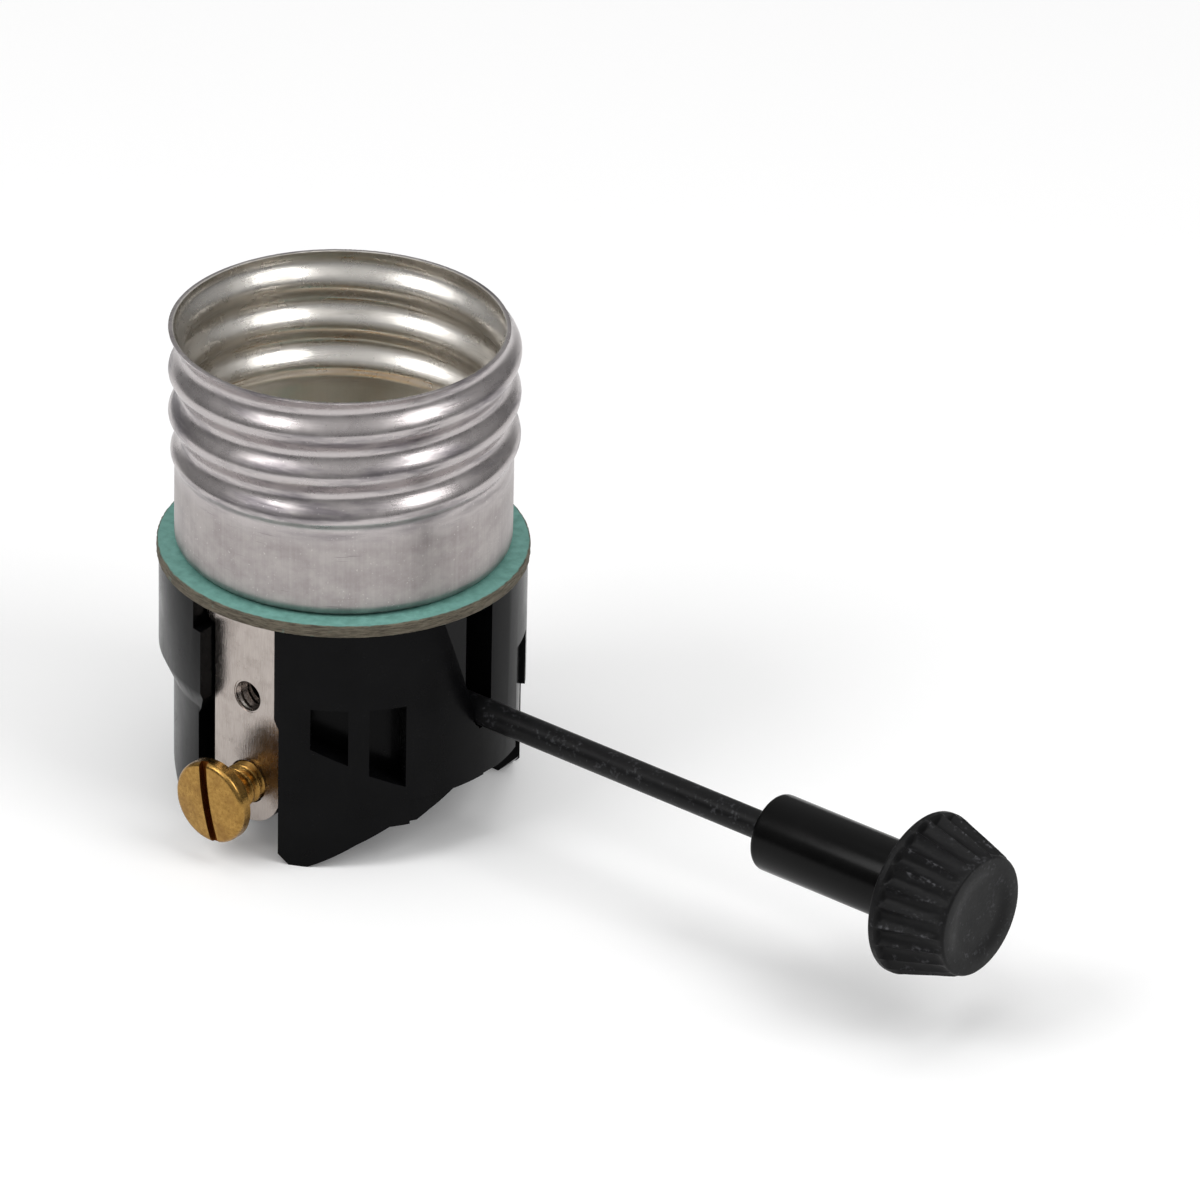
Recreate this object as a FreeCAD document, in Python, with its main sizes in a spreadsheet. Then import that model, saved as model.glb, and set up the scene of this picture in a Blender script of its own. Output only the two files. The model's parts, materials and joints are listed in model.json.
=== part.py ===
import FreeCAD, Part
import math
import os
import re
import Sketcher
from FreeCAD import Placement, Rotation, Vector

# Interior of a turn-knob lamp holder for a screw-cap lamp with a 26 mm Edison cap.
# Millimetres. +Z runs up the lamp's axis, the insulating disc's upper face is z = 0,
# the switch shaft runs along +X, and the line terminal faces -Y.

doc = FreeCAD.newDocument("LampHolder")
sheet = doc.addObject("Spreadsheet::Sheet", "Sizes")

SIZES = [
    # screw shell
    ("shell_height", 18.65, "disc face to rim"),
    ("shell_wall", 0.4, "drawn sheet thickness"),
    ("shell_plain_radius", 13.27, "outside of the plain lower wall"),
    ("shell_corner_radius", 0.9, "outside corner under the plain wall"),
    ("floor_opening_radius", 6.3, "opening in the shell's floor"),
    ("thread_pitch", 3.629, "7 threads per inch"),
    ("thread_crest_radius", 13.75, "outside, over the crests"),
    ("thread_root_radius", 12.88, "outside, in the roots"),
    ("thread_start_height", 7.0, "where the rolled thread begins"),
    ("thread_run_in", 1.5, "height over which it grows to full depth"),
    ("thread_crest_height", 16.35, "height of a crest over the +X side"),
    # insulating disc
    ("disc_lip", 0.2, "vulcanised fibre disc, past the housing"),
    ("disc_thickness", 1.0, ""),
    # housing, depths below the disc's upper face
    ("housing_radius", 14.48, "collar and front wall"),
    ("collar_depth", 8.9, "where the collar starts to step in"),
    ("step_depth", 11.8, "where the step ends"),
    ("step_inset", 1.28, "how far the step goes in"),
    ("skirt_inset", 0.84, "lower wall's radius, less than the collar's by this"),
    ("skirt_shift", 0.47, "lower wall's centre, towards the shaft"),
    ("leg_depth", 21.6, "legs' tips"),
    ("front_wall_from", -70, "degrees from +X"),
    ("front_wall_to", 20.5, "degrees from +X"),
    ("front_leg_to", -28.4, "degrees from +X, where the front leg's full wall ends"),
    ("rear_wall_from", 33, "degrees from +X"),
    ("rear_wall_depth", 12.0, "bottom of the rear wall"),
    ("rear_leg_from", 52, "degrees from +X"),
    ("rear_leg_to", 70, "degrees from +X"),
    ("notch_depth", 7.1, "top of the notch between the front and rear walls"),
    ("arch_half_width", 2.4, "flat middle of the arch between the legs"),
    ("arch_shoulder", 6.0, "where the arch's shoulder starts"),
    ("shoulder_rise", 0.6, "height of the shoulder's cut corner"),
    ("leg_inner_edge", 8.3, "where the legs' slope starts"),
    ("leg_bend_edge", 10.3, "where the legs' slope steepens"),
    ("leg_bend_share", 0.4, "share of the slope's drop that is reached there"),
    ("leg_outer_edge", 12.6, "where the legs' slope ends"),
    ("rear_leg_edge", 9.0, "upright side of the legs away from the line terminal"),
    ("foot_corner_inset", 5.78, "cut corner of the same legs' feet, in from the housing's radius"),
    ("shoulder_depth", 18.1, "underside of the shoulder"),
    ("cavity_rear", 9.2, "switch cavity, from the lamp axis away from the knob"),
    ("cavity_front", 11.6, "switch cavity, from the lamp axis towards the knob"),
    ("cavity_half_width", 5.8, ""),
    ("floor_thickness", 1.7, "housing floor under the switch"),
    ("slot_half_width", 1.25, "slot that the shaft drops into"),
    ("panel_inset", 0.93, "sunk panel beside the slot, in from the housing's radius"),
    ("panel_width", 4.6, "sunk panel at the disc"),
    ("panel_foot_width", 0.6, "sunk panel at the slot's end"),
    ("flat_inset", 0.38, "flat on the slot's other side, in from the housing's radius"),
    ("flat_width", 4.0, ""),
    ("window_lean", 0.45, "slant of the windows' lower edges"),
    ("window_sink", 2.5, "depth of the moulded windows, from the housing's radius"),
    ("window_top_depth", 7.55, ""),
    ("first_window_angle", -54, "degrees from +X"),
    ("first_window_height", 4.2, ""),
    ("second_window_angle", -35.75, "degrees from +X"),
    ("second_window_height", 6.5, ""),
    ("window_half_width", 1.48, ""),
    # terminals
    ("terminal_offset", 1.05, "terminals' centre line, from the lamp axis"),
    ("strap_width", 6.7, ""),
    ("strap_thickness", 0.8, ""),
    ("strap_inset", 1.78, "strap's outer face, in from the housing's radius"),
    ("strap_bend_radius", 1.1, "outside of the bend under the disc"),
    ("strap_side_gap", 0.2, "between the strap and its channel"),
    ("ear_width", 0.9, "ear beside the strap's bend"),
    ("ear_depth", 3.3, "ear's lower end"),
    ("tab_reach", 6.6, "inner end of the strap's tab, from the lamp axis"),
    ("spare_hole_depth", 8.5, "tapped hole for a second wire"),
    ("spare_hole_radius", 1.4, ""),
    ("screw_depth", 16.1, "terminal screw's axis"),
    ("screw_radius", 1.75, "thread size 6-32"),
    ("thread_clearance", 0.05, "between the screw and its tapped hole"),
    ("screw_length", 5.0, "under the head"),
    ("screw_head_radius", 3.4, ""),
    ("screw_head_height", 1.35, ""),
    ("screw_head_edge", 0.25, "rounding of the head's rim"),
    ("screw_slot_width", 0.75, ""),
    ("screw_slot_depth", 0.7, ""),
    ("screw_slot_angle", 11.0, "degrees from upright"),
    ("screw_gap", 3.6, "head to strap, as backed out for the wire"),
    ("flare_width", 1.25, "how far the channel widens beside the screw"),
    ("flare_depth", 9.6, "where it starts to widen"),
    ("flare_recess", 1.7, "bottom of the wide part, behind the strap's face"),
    ("leg_corner", 0.9, "cut corner at the foot of the channel"),
    # rivets
    ("rivet_radius", 0.8, "small contact rivets"),
    ("rivet_head_radius", 1.4, ""),
    ("rivet_head_height", 0.5, ""),
    ("terminal_rivet_distance", 8.2, "from the lamp axis"),
    ("body_rivet_radius", 1.1, "rivets through shell, disc and housing"),
    ("body_rivet_head_radius", 1.9, ""),
    ("body_rivet_across", 7.95, "from the shaft's plane"),
    ("body_rivet_back", 5.9, "from the lamp axis"),
    ("rivet_clearance", 0.05, "between a rivet and its hole"),
    ("relief_clearance", 0.4, "room round a rivet's head in the housing"),
    # switch
    ("shaft_depth", 10.35, "shaft's axis"),
    ("shaft_radius", 1.13, ""),
    ("shaft_end", 61.3, "end inside the knob, from the lamp axis"),
    ("pivot_radius", 0.8, "shaft's inner end"),
    ("running_clearance", 0.05, "between the shaft and its bearings"),
    ("press_clearance", 0.01, "between pieces pressed on the shaft"),
    ("frame_rear", 8.0, "back of the rear ear, from the lamp axis"),
    ("frame_front", 9.8, "front of the front ear, from the lamp axis"),
    ("frame_half_width", 5.4, ""),
    ("frame_base", 0.5, "thickness of the frame's base"),
    ("frame_ear", 0.8, "thickness of its ears"),
    ("frame_top_depth", 6.5, "top of its ears"),
    ("rotor_room", 0.5, "between the cam and the frame's base"),
    ("rotor_radius", 2.4, "contact carrier"),
    ("lobe_radius", 2.9, "over the cam's corners"),
    ("cam_flat", 2.3, "from the axis to a flat"),
    ("cam_start", -6.2, "along the shaft"),
    ("cam_end", -2.8, "along the shaft"),
    ("neck_radius", 1.7, "between cam and carrier"),
    ("carrier_start", -1.9, "along the shaft"),
    ("carrier_end", 5.2, "along the shaft"),
    ("band_thickness", 0.5, "rotor contact sheet"),
    ("band_half_width", 1.6, "half the width of its two tongues"),
    ("contact_clearance", 0.12, "between moving and fixed contacts"),
    ("spring_thickness", 0.4, "contact springs"),
    ("spring_half_width", 1.0, ""),
    ("spring_drop", 2.45, "lower end of the contact springs, below the shaft's axis"),
    ("spring_reach", 9.6, "outer end of the line contact spring"),
    ("detent_thickness", 0.3, "leaf beside the cam"),
    ("detent_shank", 0.6, "radius of its rivet"),
    ("detent_head", 0.9, "radius of the rivet's head"),
    ("detent_top_depth", 7.2, ""),
    ("detent_foot", 5.3, "outer end of its foot, from the shaft"),
    ("clip_thickness", 0.5, "retaining ring behind the front ear"),
    ("clip_radius", 2.3, ""),
    ("clip_groove", 0.15, "depth of its groove"),
    # centre contact
    ("tongue_width", 5.0, ""),
    ("tongue_thickness", 0.4, ""),
    ("tongue_rivet", 3.8, "its rivet, from the lamp axis away from the knob"),
    ("tongue_height", 3.1, "nose above the disc"),
    # knob
    ("sleeve_start", 43.1, "extension sleeve, from the lamp axis"),
    ("sleeve_radius", 3.1, ""),
    ("sleeve_edge", 0.5, "rounding of its end"),
    ("knob_start", 57.1, "back of the knob, from the lamp axis"),
    ("knob_length", 5.9, ""),
    ("knob_back_radius", 6.5, ""),
    ("knob_front_radius", 4.85, ""),
    ("knob_flange", 0.6, "plain flange at the back"),
    ("knob_edge", 0.3, "rounding of the front edge"),
    ("knob_dish_radius", 3.3, "shallow dish in the front face"),
    ("knob_dish_depth", 0.25, ""),
    ("flute_count", 24, ""),
    ("flute_depth", 0.6, "at the flange"),
    ("flute_half_width", 0.5, "at the flange"),
    ("flute_fade", 0.6, "share of both that is left at the front"),
    ("insert_radius", 2.2, "brass insert in the knob"),
    ("insert_length", 4.4, ""),
]

# Sizes that follow from the ones above.
DERIVED = [
    ("disc_radius", "=housing_radius + disc_lip", ""),
    ("step_radius", "=housing_radius - step_inset", "radius at the end of the step"),
    ("skirt_radius", "=housing_radius - skirt_inset", ""),
    ("panel_distance", "=housing_radius - panel_inset", "from the lamp axis"),
    ("foot_corner_start", "=housing_radius - foot_corner_inset", "from the lamp axis"),
    ("flat_distance", "=housing_radius - flat_inset", "from the lamp axis"),
    ("window_floor", "=housing_radius - window_sink", "from the lamp axis"),
    ("spring_foot_depth", "=shaft_depth + spring_drop", ""),
    ("strap_face", "=housing_radius - strap_inset", "strap's outer face, from the lamp axis"),
    ("flare_floor", "=strap_face - flare_recess", "from the lamp axis"),
    ("screw_relief", "=strap_face - screw_length - strap_side_gap", "relief behind the screw"),
    ("strap_back", "=strap_face - strap_thickness", "channel floor, from the lamp axis"),
    ("channel_left", "=terminal_offset - strap_width / 2 - strap_side_gap", ""),
    ("channel_right", "=terminal_offset + strap_width / 2 + strap_side_gap", ""),
    ("cavity_floor", "=shaft_depth + lobe_radius + rotor_room + frame_base", "its depth"),
    ("front_wall_depth", "=cavity_floor + floor_thickness", "bottom of the front wall"),
    ("contact_face", "=lobe_radius + contact_clearance", "fixed contacts, from the axis"),
    ("knob_end", "=knob_start + knob_length", ""),
    ("seat_depth", "=disc_thickness + strap_thickness", "underside of the straps' tabs"),
    ("clip_start", "=frame_front - frame_ear - running_clearance - clip_thickness", ""),
    ("head_face", "=strap_face + screw_gap", "terminal screw's head, from the lamp axis"),
]

for row, (name, number, note) in enumerate(SIZES + DERIVED, start=1):
    sheet.set(f"A{row}", name)
    sheet.set(f"B{row}", str(number))
    sheet.set(f"C{row}", note)
    sheet.setAlias(f"B{row}", name)
doc.recompute()


# ---------------------------------------------------------------- helpers

def value(text):
    """Number that an expression of sizes gives."""
    return float(sheet.evalExpression(str(text)))


def formula(text):
    """The same expression for use outside the sheet. Every size's name has an underscore."""
    return re.sub(r"\b[a-z]+(_[a-z]+)+\b", r"Sizes.\g<0>", str(text))


def bind(thing, **sizes):
    """Tie a thing's properties to expressions of sizes."""
    for name, text in sizes.items():
        thing.setExpression(name.replace("__", "."), formula(text))


def new_body(name):
    """Empty body for one sub-part."""
    body = doc.addObject("PartDesign::Body", name)
    body.Label = name
    return body


def origin_item(body, role):
    """One of the body's own origin planes or axes."""
    return next(o for o in body.Origin.OriginFeatures if o.Role == role)


def new_sketch(body, name, plane, lift="0", turn="0"):
    """Sketch on an origin plane, lifted along its normal and turned about its upright axis."""
    sketch = body.newObject("Sketcher::SketchObject", name)
    sketch.AttachmentSupport = [(origin_item(body, plane), "")]
    sketch.MapMode = "FlatFace"
    turned_about = Rotation(Vector(0, 1, 0), value(turn))
    lifted = turned_about.multVec(Vector(0, 0, value(lift)))
    sketch.AttachmentOffset = Placement(lifted, turned_about)
    if value(turn) == 0:
        bind(sketch, AttachmentOffset__Base__z=lift)
    return sketch


def constrain(sketch, constraint, text):
    """Add a constraint whose number follows an expression of sizes."""
    index = sketch.addConstraint(constraint)
    sketch.setExpression(f"Constraints[{index}]", formula(text))


def fix_point(sketch, item, end, x, y):
    """Tie a point's two coordinates to expressions of sizes; "0" puts it on an axis."""
    origin, across, upright = -1, -1, -2
    if x == "0":
        sketch.addConstraint(Sketcher.Constraint("PointOnObject", item, end, upright))
    else:
        constrain(sketch, Sketcher.Constraint("DistanceX", origin, 1, item, end, value(x)), x)
    if y == "0":
        sketch.addConstraint(Sketcher.Constraint("PointOnObject", item, end, across))
    else:
        constrain(sketch, Sketcher.Constraint("DistanceY", origin, 1, item, end, value(y)), y)


def outline(sketch, corners):
    """Closed outline of straight lines through corners given as pairs of expressions."""
    points = [Vector(value(x), value(y), 0) for x, y in corners]
    first = sketch.GeometryCount
    count = len(points)
    for i in range(count):
        sketch.addGeometry(Part.LineSegment(points[i], points[(i + 1) % count]), False)
    for i in range(count):
        after = first + (i + 1) % count
        sketch.addConstraint(Sketcher.Constraint("Coincident", first + i, 2, after, 1))
        fix_point(sketch, first + i, 1, *corners[i])


def box_outline(sketch, left, low, right, high):
    """Rectangle between two corners."""
    outline(sketch, [(left, low), (right, low), (right, high), (left, high)])


def circle(sketch, x, y, radius):
    """Circle at a point."""
    item = sketch.addGeometry(
        Part.Circle(Vector(value(x), value(y), 0), Vector(0, 0, 1), value(radius)), False)
    fix_point(sketch, item, 3, x, y)
    constrain(sketch, Sketcher.Constraint("Radius", item, value(radius)), radius)


def pie(sketch, radius, start, end):
    """Slice of a disc about the origin, between two angles in degrees."""
    first = math.radians(value(start))
    last = math.radians(value(end))
    long = value(radius)
    ends = [Vector(long * math.cos(a), long * math.sin(a), 0) for a in (first, last)]
    rim = Part.ArcOfCircle(Part.Circle(Vector(0, 0, 0), Vector(0, 0, 1), long), first, last)
    side_in = sketch.addGeometry(Part.LineSegment(Vector(0, 0, 0), ends[0]), False)
    arc = sketch.addGeometry(rim, False)
    side_out = sketch.addGeometry(Part.LineSegment(Vector(0, 0, 0), ends[1]), False)
    for item, end_point in ((side_in, 1), (side_out, 1), (arc, 3)):
        sketch.addConstraint(Sketcher.Constraint("Coincident", item, end_point, -1, 1))
    sketch.addConstraint(Sketcher.Constraint("Coincident", side_in, 2, arc, 1))
    sketch.addConstraint(Sketcher.Constraint("Coincident", side_out, 2, arc, 2))
    constrain(sketch, Sketcher.Constraint("Radius", arc, long), radius)
    constrain(sketch, Sketcher.Constraint("Angle", side_in, first), f"({start}) * 1 deg")
    constrain(sketch, Sketcher.Constraint("Angle", side_out, last), f"({end}) * 1 deg")


def feature(body, kind, name, sketch, length=None, backwards=False):
    """Pad or Pocket of a sketch. With no length it goes right through, both ways."""
    made = body.newObject(f"PartDesign::{kind}", name)
    made.Profile = sketch
    if length is None:
        made.Type = "ThroughAll"
        made.SideType = "Symmetric"
    else:
        bind(made, Length=length)
    made.Reversed = backwards
    sketch.Visibility = False
    return made


def pad(body, name, sketch, length, backwards=False):
    """Add material along the sketch's normal."""
    return feature(body, "Pad", name, sketch, length, backwards)


def pocket(body, name, sketch, length=None, along=False):
    """Remove material against the sketch's normal, or along it."""
    doc.recompute()
    before = body.Shape.Volume
    made = feature(body, "Pocket", name, sketch, length, along)
    doc.recompute()
    if body.Shape.Volume >= before:
        raise RuntimeError(f"{body.Label}: {name} removes nothing")
    return made


def revolve(body, name, sketch, axis):
    """Turn a sketch once round one of its own axes."""
    made = body.newObject("PartDesign::Revolution", name)
    made.Profile = sketch
    made.ReferenceAxis = (sketch, [axis])
    made.Angle = 360
    sketch.Visibility = False
    return made


def round_edges(body, name, radius, wanted):
    """Fillet the edges of the finished shape that wanted(edge) picks."""
    doc.recompute()
    edges = [f"Edge{i}" for i, e in enumerate(body.Shape.Edges, start=1) if wanted(e)]
    before = body.Tip
    made = body.newObject("PartDesign::Fillet", name)
    made.Base = (before, edges)
    bind(made, Radius=radius)


def turned(name, corners):
    """Round piece whose local X is its axis; corners are pairs of place and radius."""
    body = new_body(name)
    sketch = new_sketch(body, f"{name}_section", "XY_Plane")
    outline(sketch, corners)
    revolve(body, f"{name}_turning", sketch, "H_Axis")
    return body


def place(thing, x="0", y="0", z="0", axis=Vector(0, 0, 1), angle=0):
    """Put a sub-part in its place."""
    thing.Placement = Placement(Vector(value(x), value(y), value(z)), Rotation(axis, angle))
    bind(thing, Placement__Base__x=x, Placement__Base__y=y, Placement__Base__z=z)


def rivet_corners(low, high, shank, head, head_height):
    """Section of a rivet whose heads stand outside low and high along its axis."""
    return [
        (f"{low} - {head_height}", "0"),
        (f"{low} - {head_height}", f"{head} * 0.7"),
        (f"{low} - {head_height} * 0.4", head),
        (low, head),
        (low, shank),
        (high, shank),
        (high, head),
        (f"{high} + {head_height} * 0.4", head),
        (f"{high} + {head_height}", f"{head} * 0.7"),
        (f"{high} + {head_height}", "0"),
    ]


# ---------------------------------------------------------------- lamp end

def thread_wave(turn, height):
    """How far the wall stands out from its plain radius: a rounded wave that climbs one pitch a
    turn, right-handed, and grows out of the plain wall."""
    crest = value("thread_crest_radius")
    root = value("thread_root_radius")
    phase = (height - value("thread_crest_height")) / value("thread_pitch") - turn
    wave = (crest + root) / 2 + (crest - root) / 2 * math.cos(2 * math.pi * phase)
    grown = (height - value("thread_start_height")) / value("thread_run_in")
    grown = min(max(grown, 0), 1)
    return (wave - value("shell_plain_radius")) * grown * grown * (3 - 2 * grown)


def shell_side(inset):
    """Face of the shell's side, moved in by inset: rounded foot, plain wall, thread. It is a
    cubic spline surface, closed round the axis, whose poles sit on the form; a spline cuts
    inside its poles, so the radius and the wave are swelled by what it would lose."""
    columns = 48
    pole_spacing = 0.5
    foot = value("shell_corner_radius")
    corner = foot - inset
    plain = value("shell_plain_radius") - inset
    round_foot = corner * math.pi / 2
    run = round_foot + value("shell_height") - foot
    spans = int(run / pole_spacing) + 1
    step = run / spans
    round_loss = (2 + math.cos(2 * math.pi / columns)) / 3
    wave_loss = (2 + math.cos(2 * math.pi * step / value("thread_pitch"))) / 3
    poles = []
    for i in range(spans + 3):
        along = step * sum(min(max(i - k, 0), spans) for k in range(3)) / 3
        angle = min(along / corner, math.pi / 2)
        radius = plain - corner + corner * math.sin(angle)
        height = foot - corner * math.cos(angle) + max(along - round_foot, 0)
        ring = []
        for k in range(columns):
            turn = k / columns
            reach = (radius + thread_wave(turn, height) / wave_loss) / round_loss
            around = 2 * math.pi * turn
            ring.append(Vector(reach * math.cos(around), reach * math.sin(around), height))
        poles.append(ring)
    side = Part.BSplineSurface()
    side.buildFromPolesMultsKnots(
        poles, [4] + [1] * (spans - 1) + [4], [1] * (columns + 1),
        list(range(spans + 1)), list(range(columns + 1)), False, True, 3, 3)
    return side.toShape()


def rim(side, upper):
    """Level edge of a side face at its top or its bottom."""
    level = [e for e in side.Edges if e.BoundBox.ZLength < 1e-4]
    level.sort(key=lambda e: e.BoundBox.ZMin)
    return Part.Wire([level[-1] if upper else level[0]])


def make_screw_shell():
    """Drawn aluminium shell with a rolled thread, cut off flat at the rim, and a floor that is
    open in the middle and holed for its three rivets."""
    wall = value("shell_wall")
    outside = shell_side(0)
    inside = shell_side(wall)
    lip = Part.makeFace([rim(outside, True), rim(inside, True)], "Part::FaceMakerBullseye")
    floors = [Part.Face(rim(outside, False)), Part.Face(rim(inside, False))]
    skin = Part.makeShell([outside, inside, lip] + floors)
    skin.sewShape()
    shape = Part.Solid(skin)
    if shape.Volume < 0:
        shape.reverse()
    tools = [Part.makeCylinder(value("floor_opening_radius"), 3 * wall, Vector(0, 0, -wall))]
    back = value("body_rivet_back")
    across = value("body_rivet_across")
    big = value("body_rivet_radius + rivet_clearance")
    small = value("rivet_radius + rivet_clearance")
    tools.append(Part.makeCylinder(big, 3 * wall, Vector(-back, across, -wall)))
    tools.append(Part.makeCylinder(big, 3 * wall, Vector(-back, -across, -wall)))
    over_tab = Vector(value("terminal_offset"), value("terminal_rivet_distance"), -wall)
    tools.append(Part.makeCylinder(small, 3 * wall, over_tab))
    shell = doc.addObject("Part::Feature", "screw_shell")
    shell.Label = "screw_shell"
    shell.Shape = shape.cut(tools)
    place(shell)
    return shell


def make_insulating_disc():
    """Fibre disc under the shell."""
    body = new_body("insulating_disc")
    sketch = new_sketch(body, "disc_outline", "XY_Plane")
    circle(sketch, "0", "0", "disc_radius")
    circle(sketch, "-tongue_rivet", "0", "rivet_radius + rivet_clearance")
    circle(sketch, "terminal_offset", "terminal_rivet_distance", "rivet_radius + rivet_clearance")
    for side in ("", "-"):
        circle(sketch, "-body_rivet_back", f"{side}body_rivet_across",
               "body_rivet_radius + rivet_clearance")
    pad(body, "disc_sheet", sketch, "disc_thickness", backwards=True)
    return body


def make_centre_contact():
    """Bronze tongue that the lamp's centre presses on."""
    body = new_body("centre_contact")
    sketch = new_sketch(body, "tongue_section", "XZ_Plane", "-tongue_width / 2")
    foot = "-tongue_rivet - rivet_head_radius - 0.2"
    thick = "tongue_thickness"
    outline(sketch, [
        (foot, "0"),
        ("-tongue_rivet + rivet_head_radius + 0.3", "0"),
        ("0.3", f"tongue_height - {thick} * 1.4"),
        ("1.7", f"tongue_height - {thick}"),
        ("2.7", f"tongue_height - {thick} * 2.6"),
        ("3.0", f"tongue_height - {thick} * 1.8"),
        ("1.8", "tongue_height"),
        ("0.1", f"tongue_height - {thick} * 0.4"),
        ("-tongue_rivet + rivet_head_radius + 0.1", thick),
        (foot, thick),
    ])
    pad(body, "tongue_strip", sketch, "tongue_width")
    hole = new_sketch(body, "tongue_hole", "XY_Plane", "tongue_thickness")
    circle(hole, "-tongue_rivet", "0", "rivet_radius + rivet_clearance")
    pocket(body, "tongue_hole_cut", hole, "2 * tongue_thickness")
    return body


# ---------------------------------------------------------------- housing

def make_housing():
    """One phenolic moulding: collar, offset skirt, front wall and four feet, with the switch
    cavity open to the disc and a channel for each terminal."""
    body = new_body("housing")

    collar = new_sketch(body, "collar_section", "XZ_Plane")
    outline(collar, [
        ("0", "-disc_thickness"),
        ("housing_radius", "-disc_thickness"),
        ("housing_radius", "-collar_depth"),
        ("step_radius", "-step_depth"),
        ("0", "-step_depth"),
    ])
    revolve(body, "collar", collar, "V_Axis")

    notch = new_sketch(body, "notch_outline", "XY_Plane", "-notch_depth")
    pie(notch, "housing_radius + 1", "front_wall_to", "rear_wall_from")
    pocket(body, "notch", notch, "step_depth - notch_depth")

    skirt = new_sketch(body, "skirt_outline", "XY_Plane", "-disc_thickness")
    circle(skirt, "skirt_shift", "0", "skirt_radius")
    pad(body, "skirt", skirt, "leg_depth - disc_thickness", backwards=True)

    walls = [
        ("front_wall", "front_wall_from", "front_wall_to", "front_wall_depth"),
        ("front_leg", "front_wall_from", "front_leg_to", "leg_depth"),
        ("rear_wall", "rear_wall_from", "rear_leg_to", "rear_wall_depth"),
        ("rear_leg", "rear_leg_from", "rear_leg_to", "leg_depth"),
    ]
    for name, start, end, depth in walls:
        sketch = new_sketch(body, f"{name}_outline", "XY_Plane", "-disc_thickness")
        pie(sketch, "housing_radius", start, end)
        pad(body, name, sketch, f"{depth} - disc_thickness", backwards=True)

    arch = new_sketch(body, "arch_outline", "YZ_Plane")
    outline(arch, [
        ("-leg_outer_edge", "-leg_depth - 1"),
        ("-leg_outer_edge", "-leg_depth"),
        ("-leg_bend_edge", "-shoulder_depth - leg_bend_share * (leg_depth - shoulder_depth)"),
        ("-leg_inner_edge", "-shoulder_depth"),
        ("-arch_shoulder", "-shoulder_depth"),
        ("-(arch_half_width + 3 * arch_shoulder) / 4", "-shoulder_depth + shoulder_rise"),
        ("-arch_half_width", "-front_wall_depth"),
        ("rear_leg_edge", "-front_wall_depth"),
        ("rear_leg_edge", "-leg_depth - 1"),
    ])
    pocket(body, "arch", arch)

    corner = new_sketch(body, "foot_corner_outline", "XZ_Plane")
    outline(corner, [
        ("foot_corner_start - 1", "-leg_depth - 1"),
        ("housing_radius + 1", "-leg_depth + housing_radius + 1 - foot_corner_start"),
        ("housing_radius + 1", "-leg_depth - 1"),
    ])
    pocket(body, "foot_corner", corner, "housing_radius + 1")

    cavity = new_sketch(body, "cavity_outline", "XY_Plane", "-disc_thickness")
    box_outline(cavity, "-cavity_rear", "-cavity_half_width", "cavity_front", "cavity_half_width")
    pocket(body, "switch_cavity", cavity, "cavity_floor - disc_thickness")

    panel = new_sketch(body, "panel_outline", "YZ_Plane", "panel_distance")
    outline(panel, [
        ("-panel_width", "0"),
        ("-panel_foot_width", "-shaft_depth - slot_half_width"),
        ("0", "-shaft_depth - slot_half_width"),
        ("0", "0"),
    ])
    pocket(body, "sunk_panel", panel, "housing_radius", along=True)
    flat = new_sketch(body, "flat_outline", "YZ_Plane", "flat_distance")
    box_outline(flat, "0", "-shaft_depth - slot_half_width", "flat_width", "0")
    pocket(body, "slot_flat", flat, "housing_radius", along=True)

    slot = new_sketch(body, "slot_outline", "YZ_Plane")
    box_outline(slot, "-slot_half_width", "-shaft_depth", "slot_half_width", "0")
    pocket(body, "shaft_slot", slot, "housing_radius + 1", along=True)
    seat = new_sketch(body, "slot_end_outline", "YZ_Plane")
    circle(seat, "0", "-shaft_depth", "slot_half_width")
    pocket(body, "slot_end", seat, "housing_radius + 1", along=True)

    cut_windows(body)
    cut_terminal_channels(body)
    cut_rivet_holes(body)
    return body


def cut_windows(body):
    """Two moulded windows beside the line terminal; their lower edges slant."""
    windows = [
        ("first_window", "first_window_angle", "first_window_height"),
        ("second_window", "second_window_angle", "second_window_height"),
    ]
    for name, angle, height in windows:
        sketch = new_sketch(body, f"{name}_outline", "XZ_Plane", "window_floor",
                            f"{angle} + 90")
        low = f"-window_top_depth - {height}"
        slant = "window_half_width * window_lean"
        outline(sketch, [
            ("-window_half_width", "-window_top_depth"),
            ("-window_half_width", f"{low} + {slant}"),
            ("window_half_width", f"{low} - {slant}"),
            ("window_half_width", "-window_top_depth"),
        ])
        pocket(body, name, sketch, "housing_radius", along=True)


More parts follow.
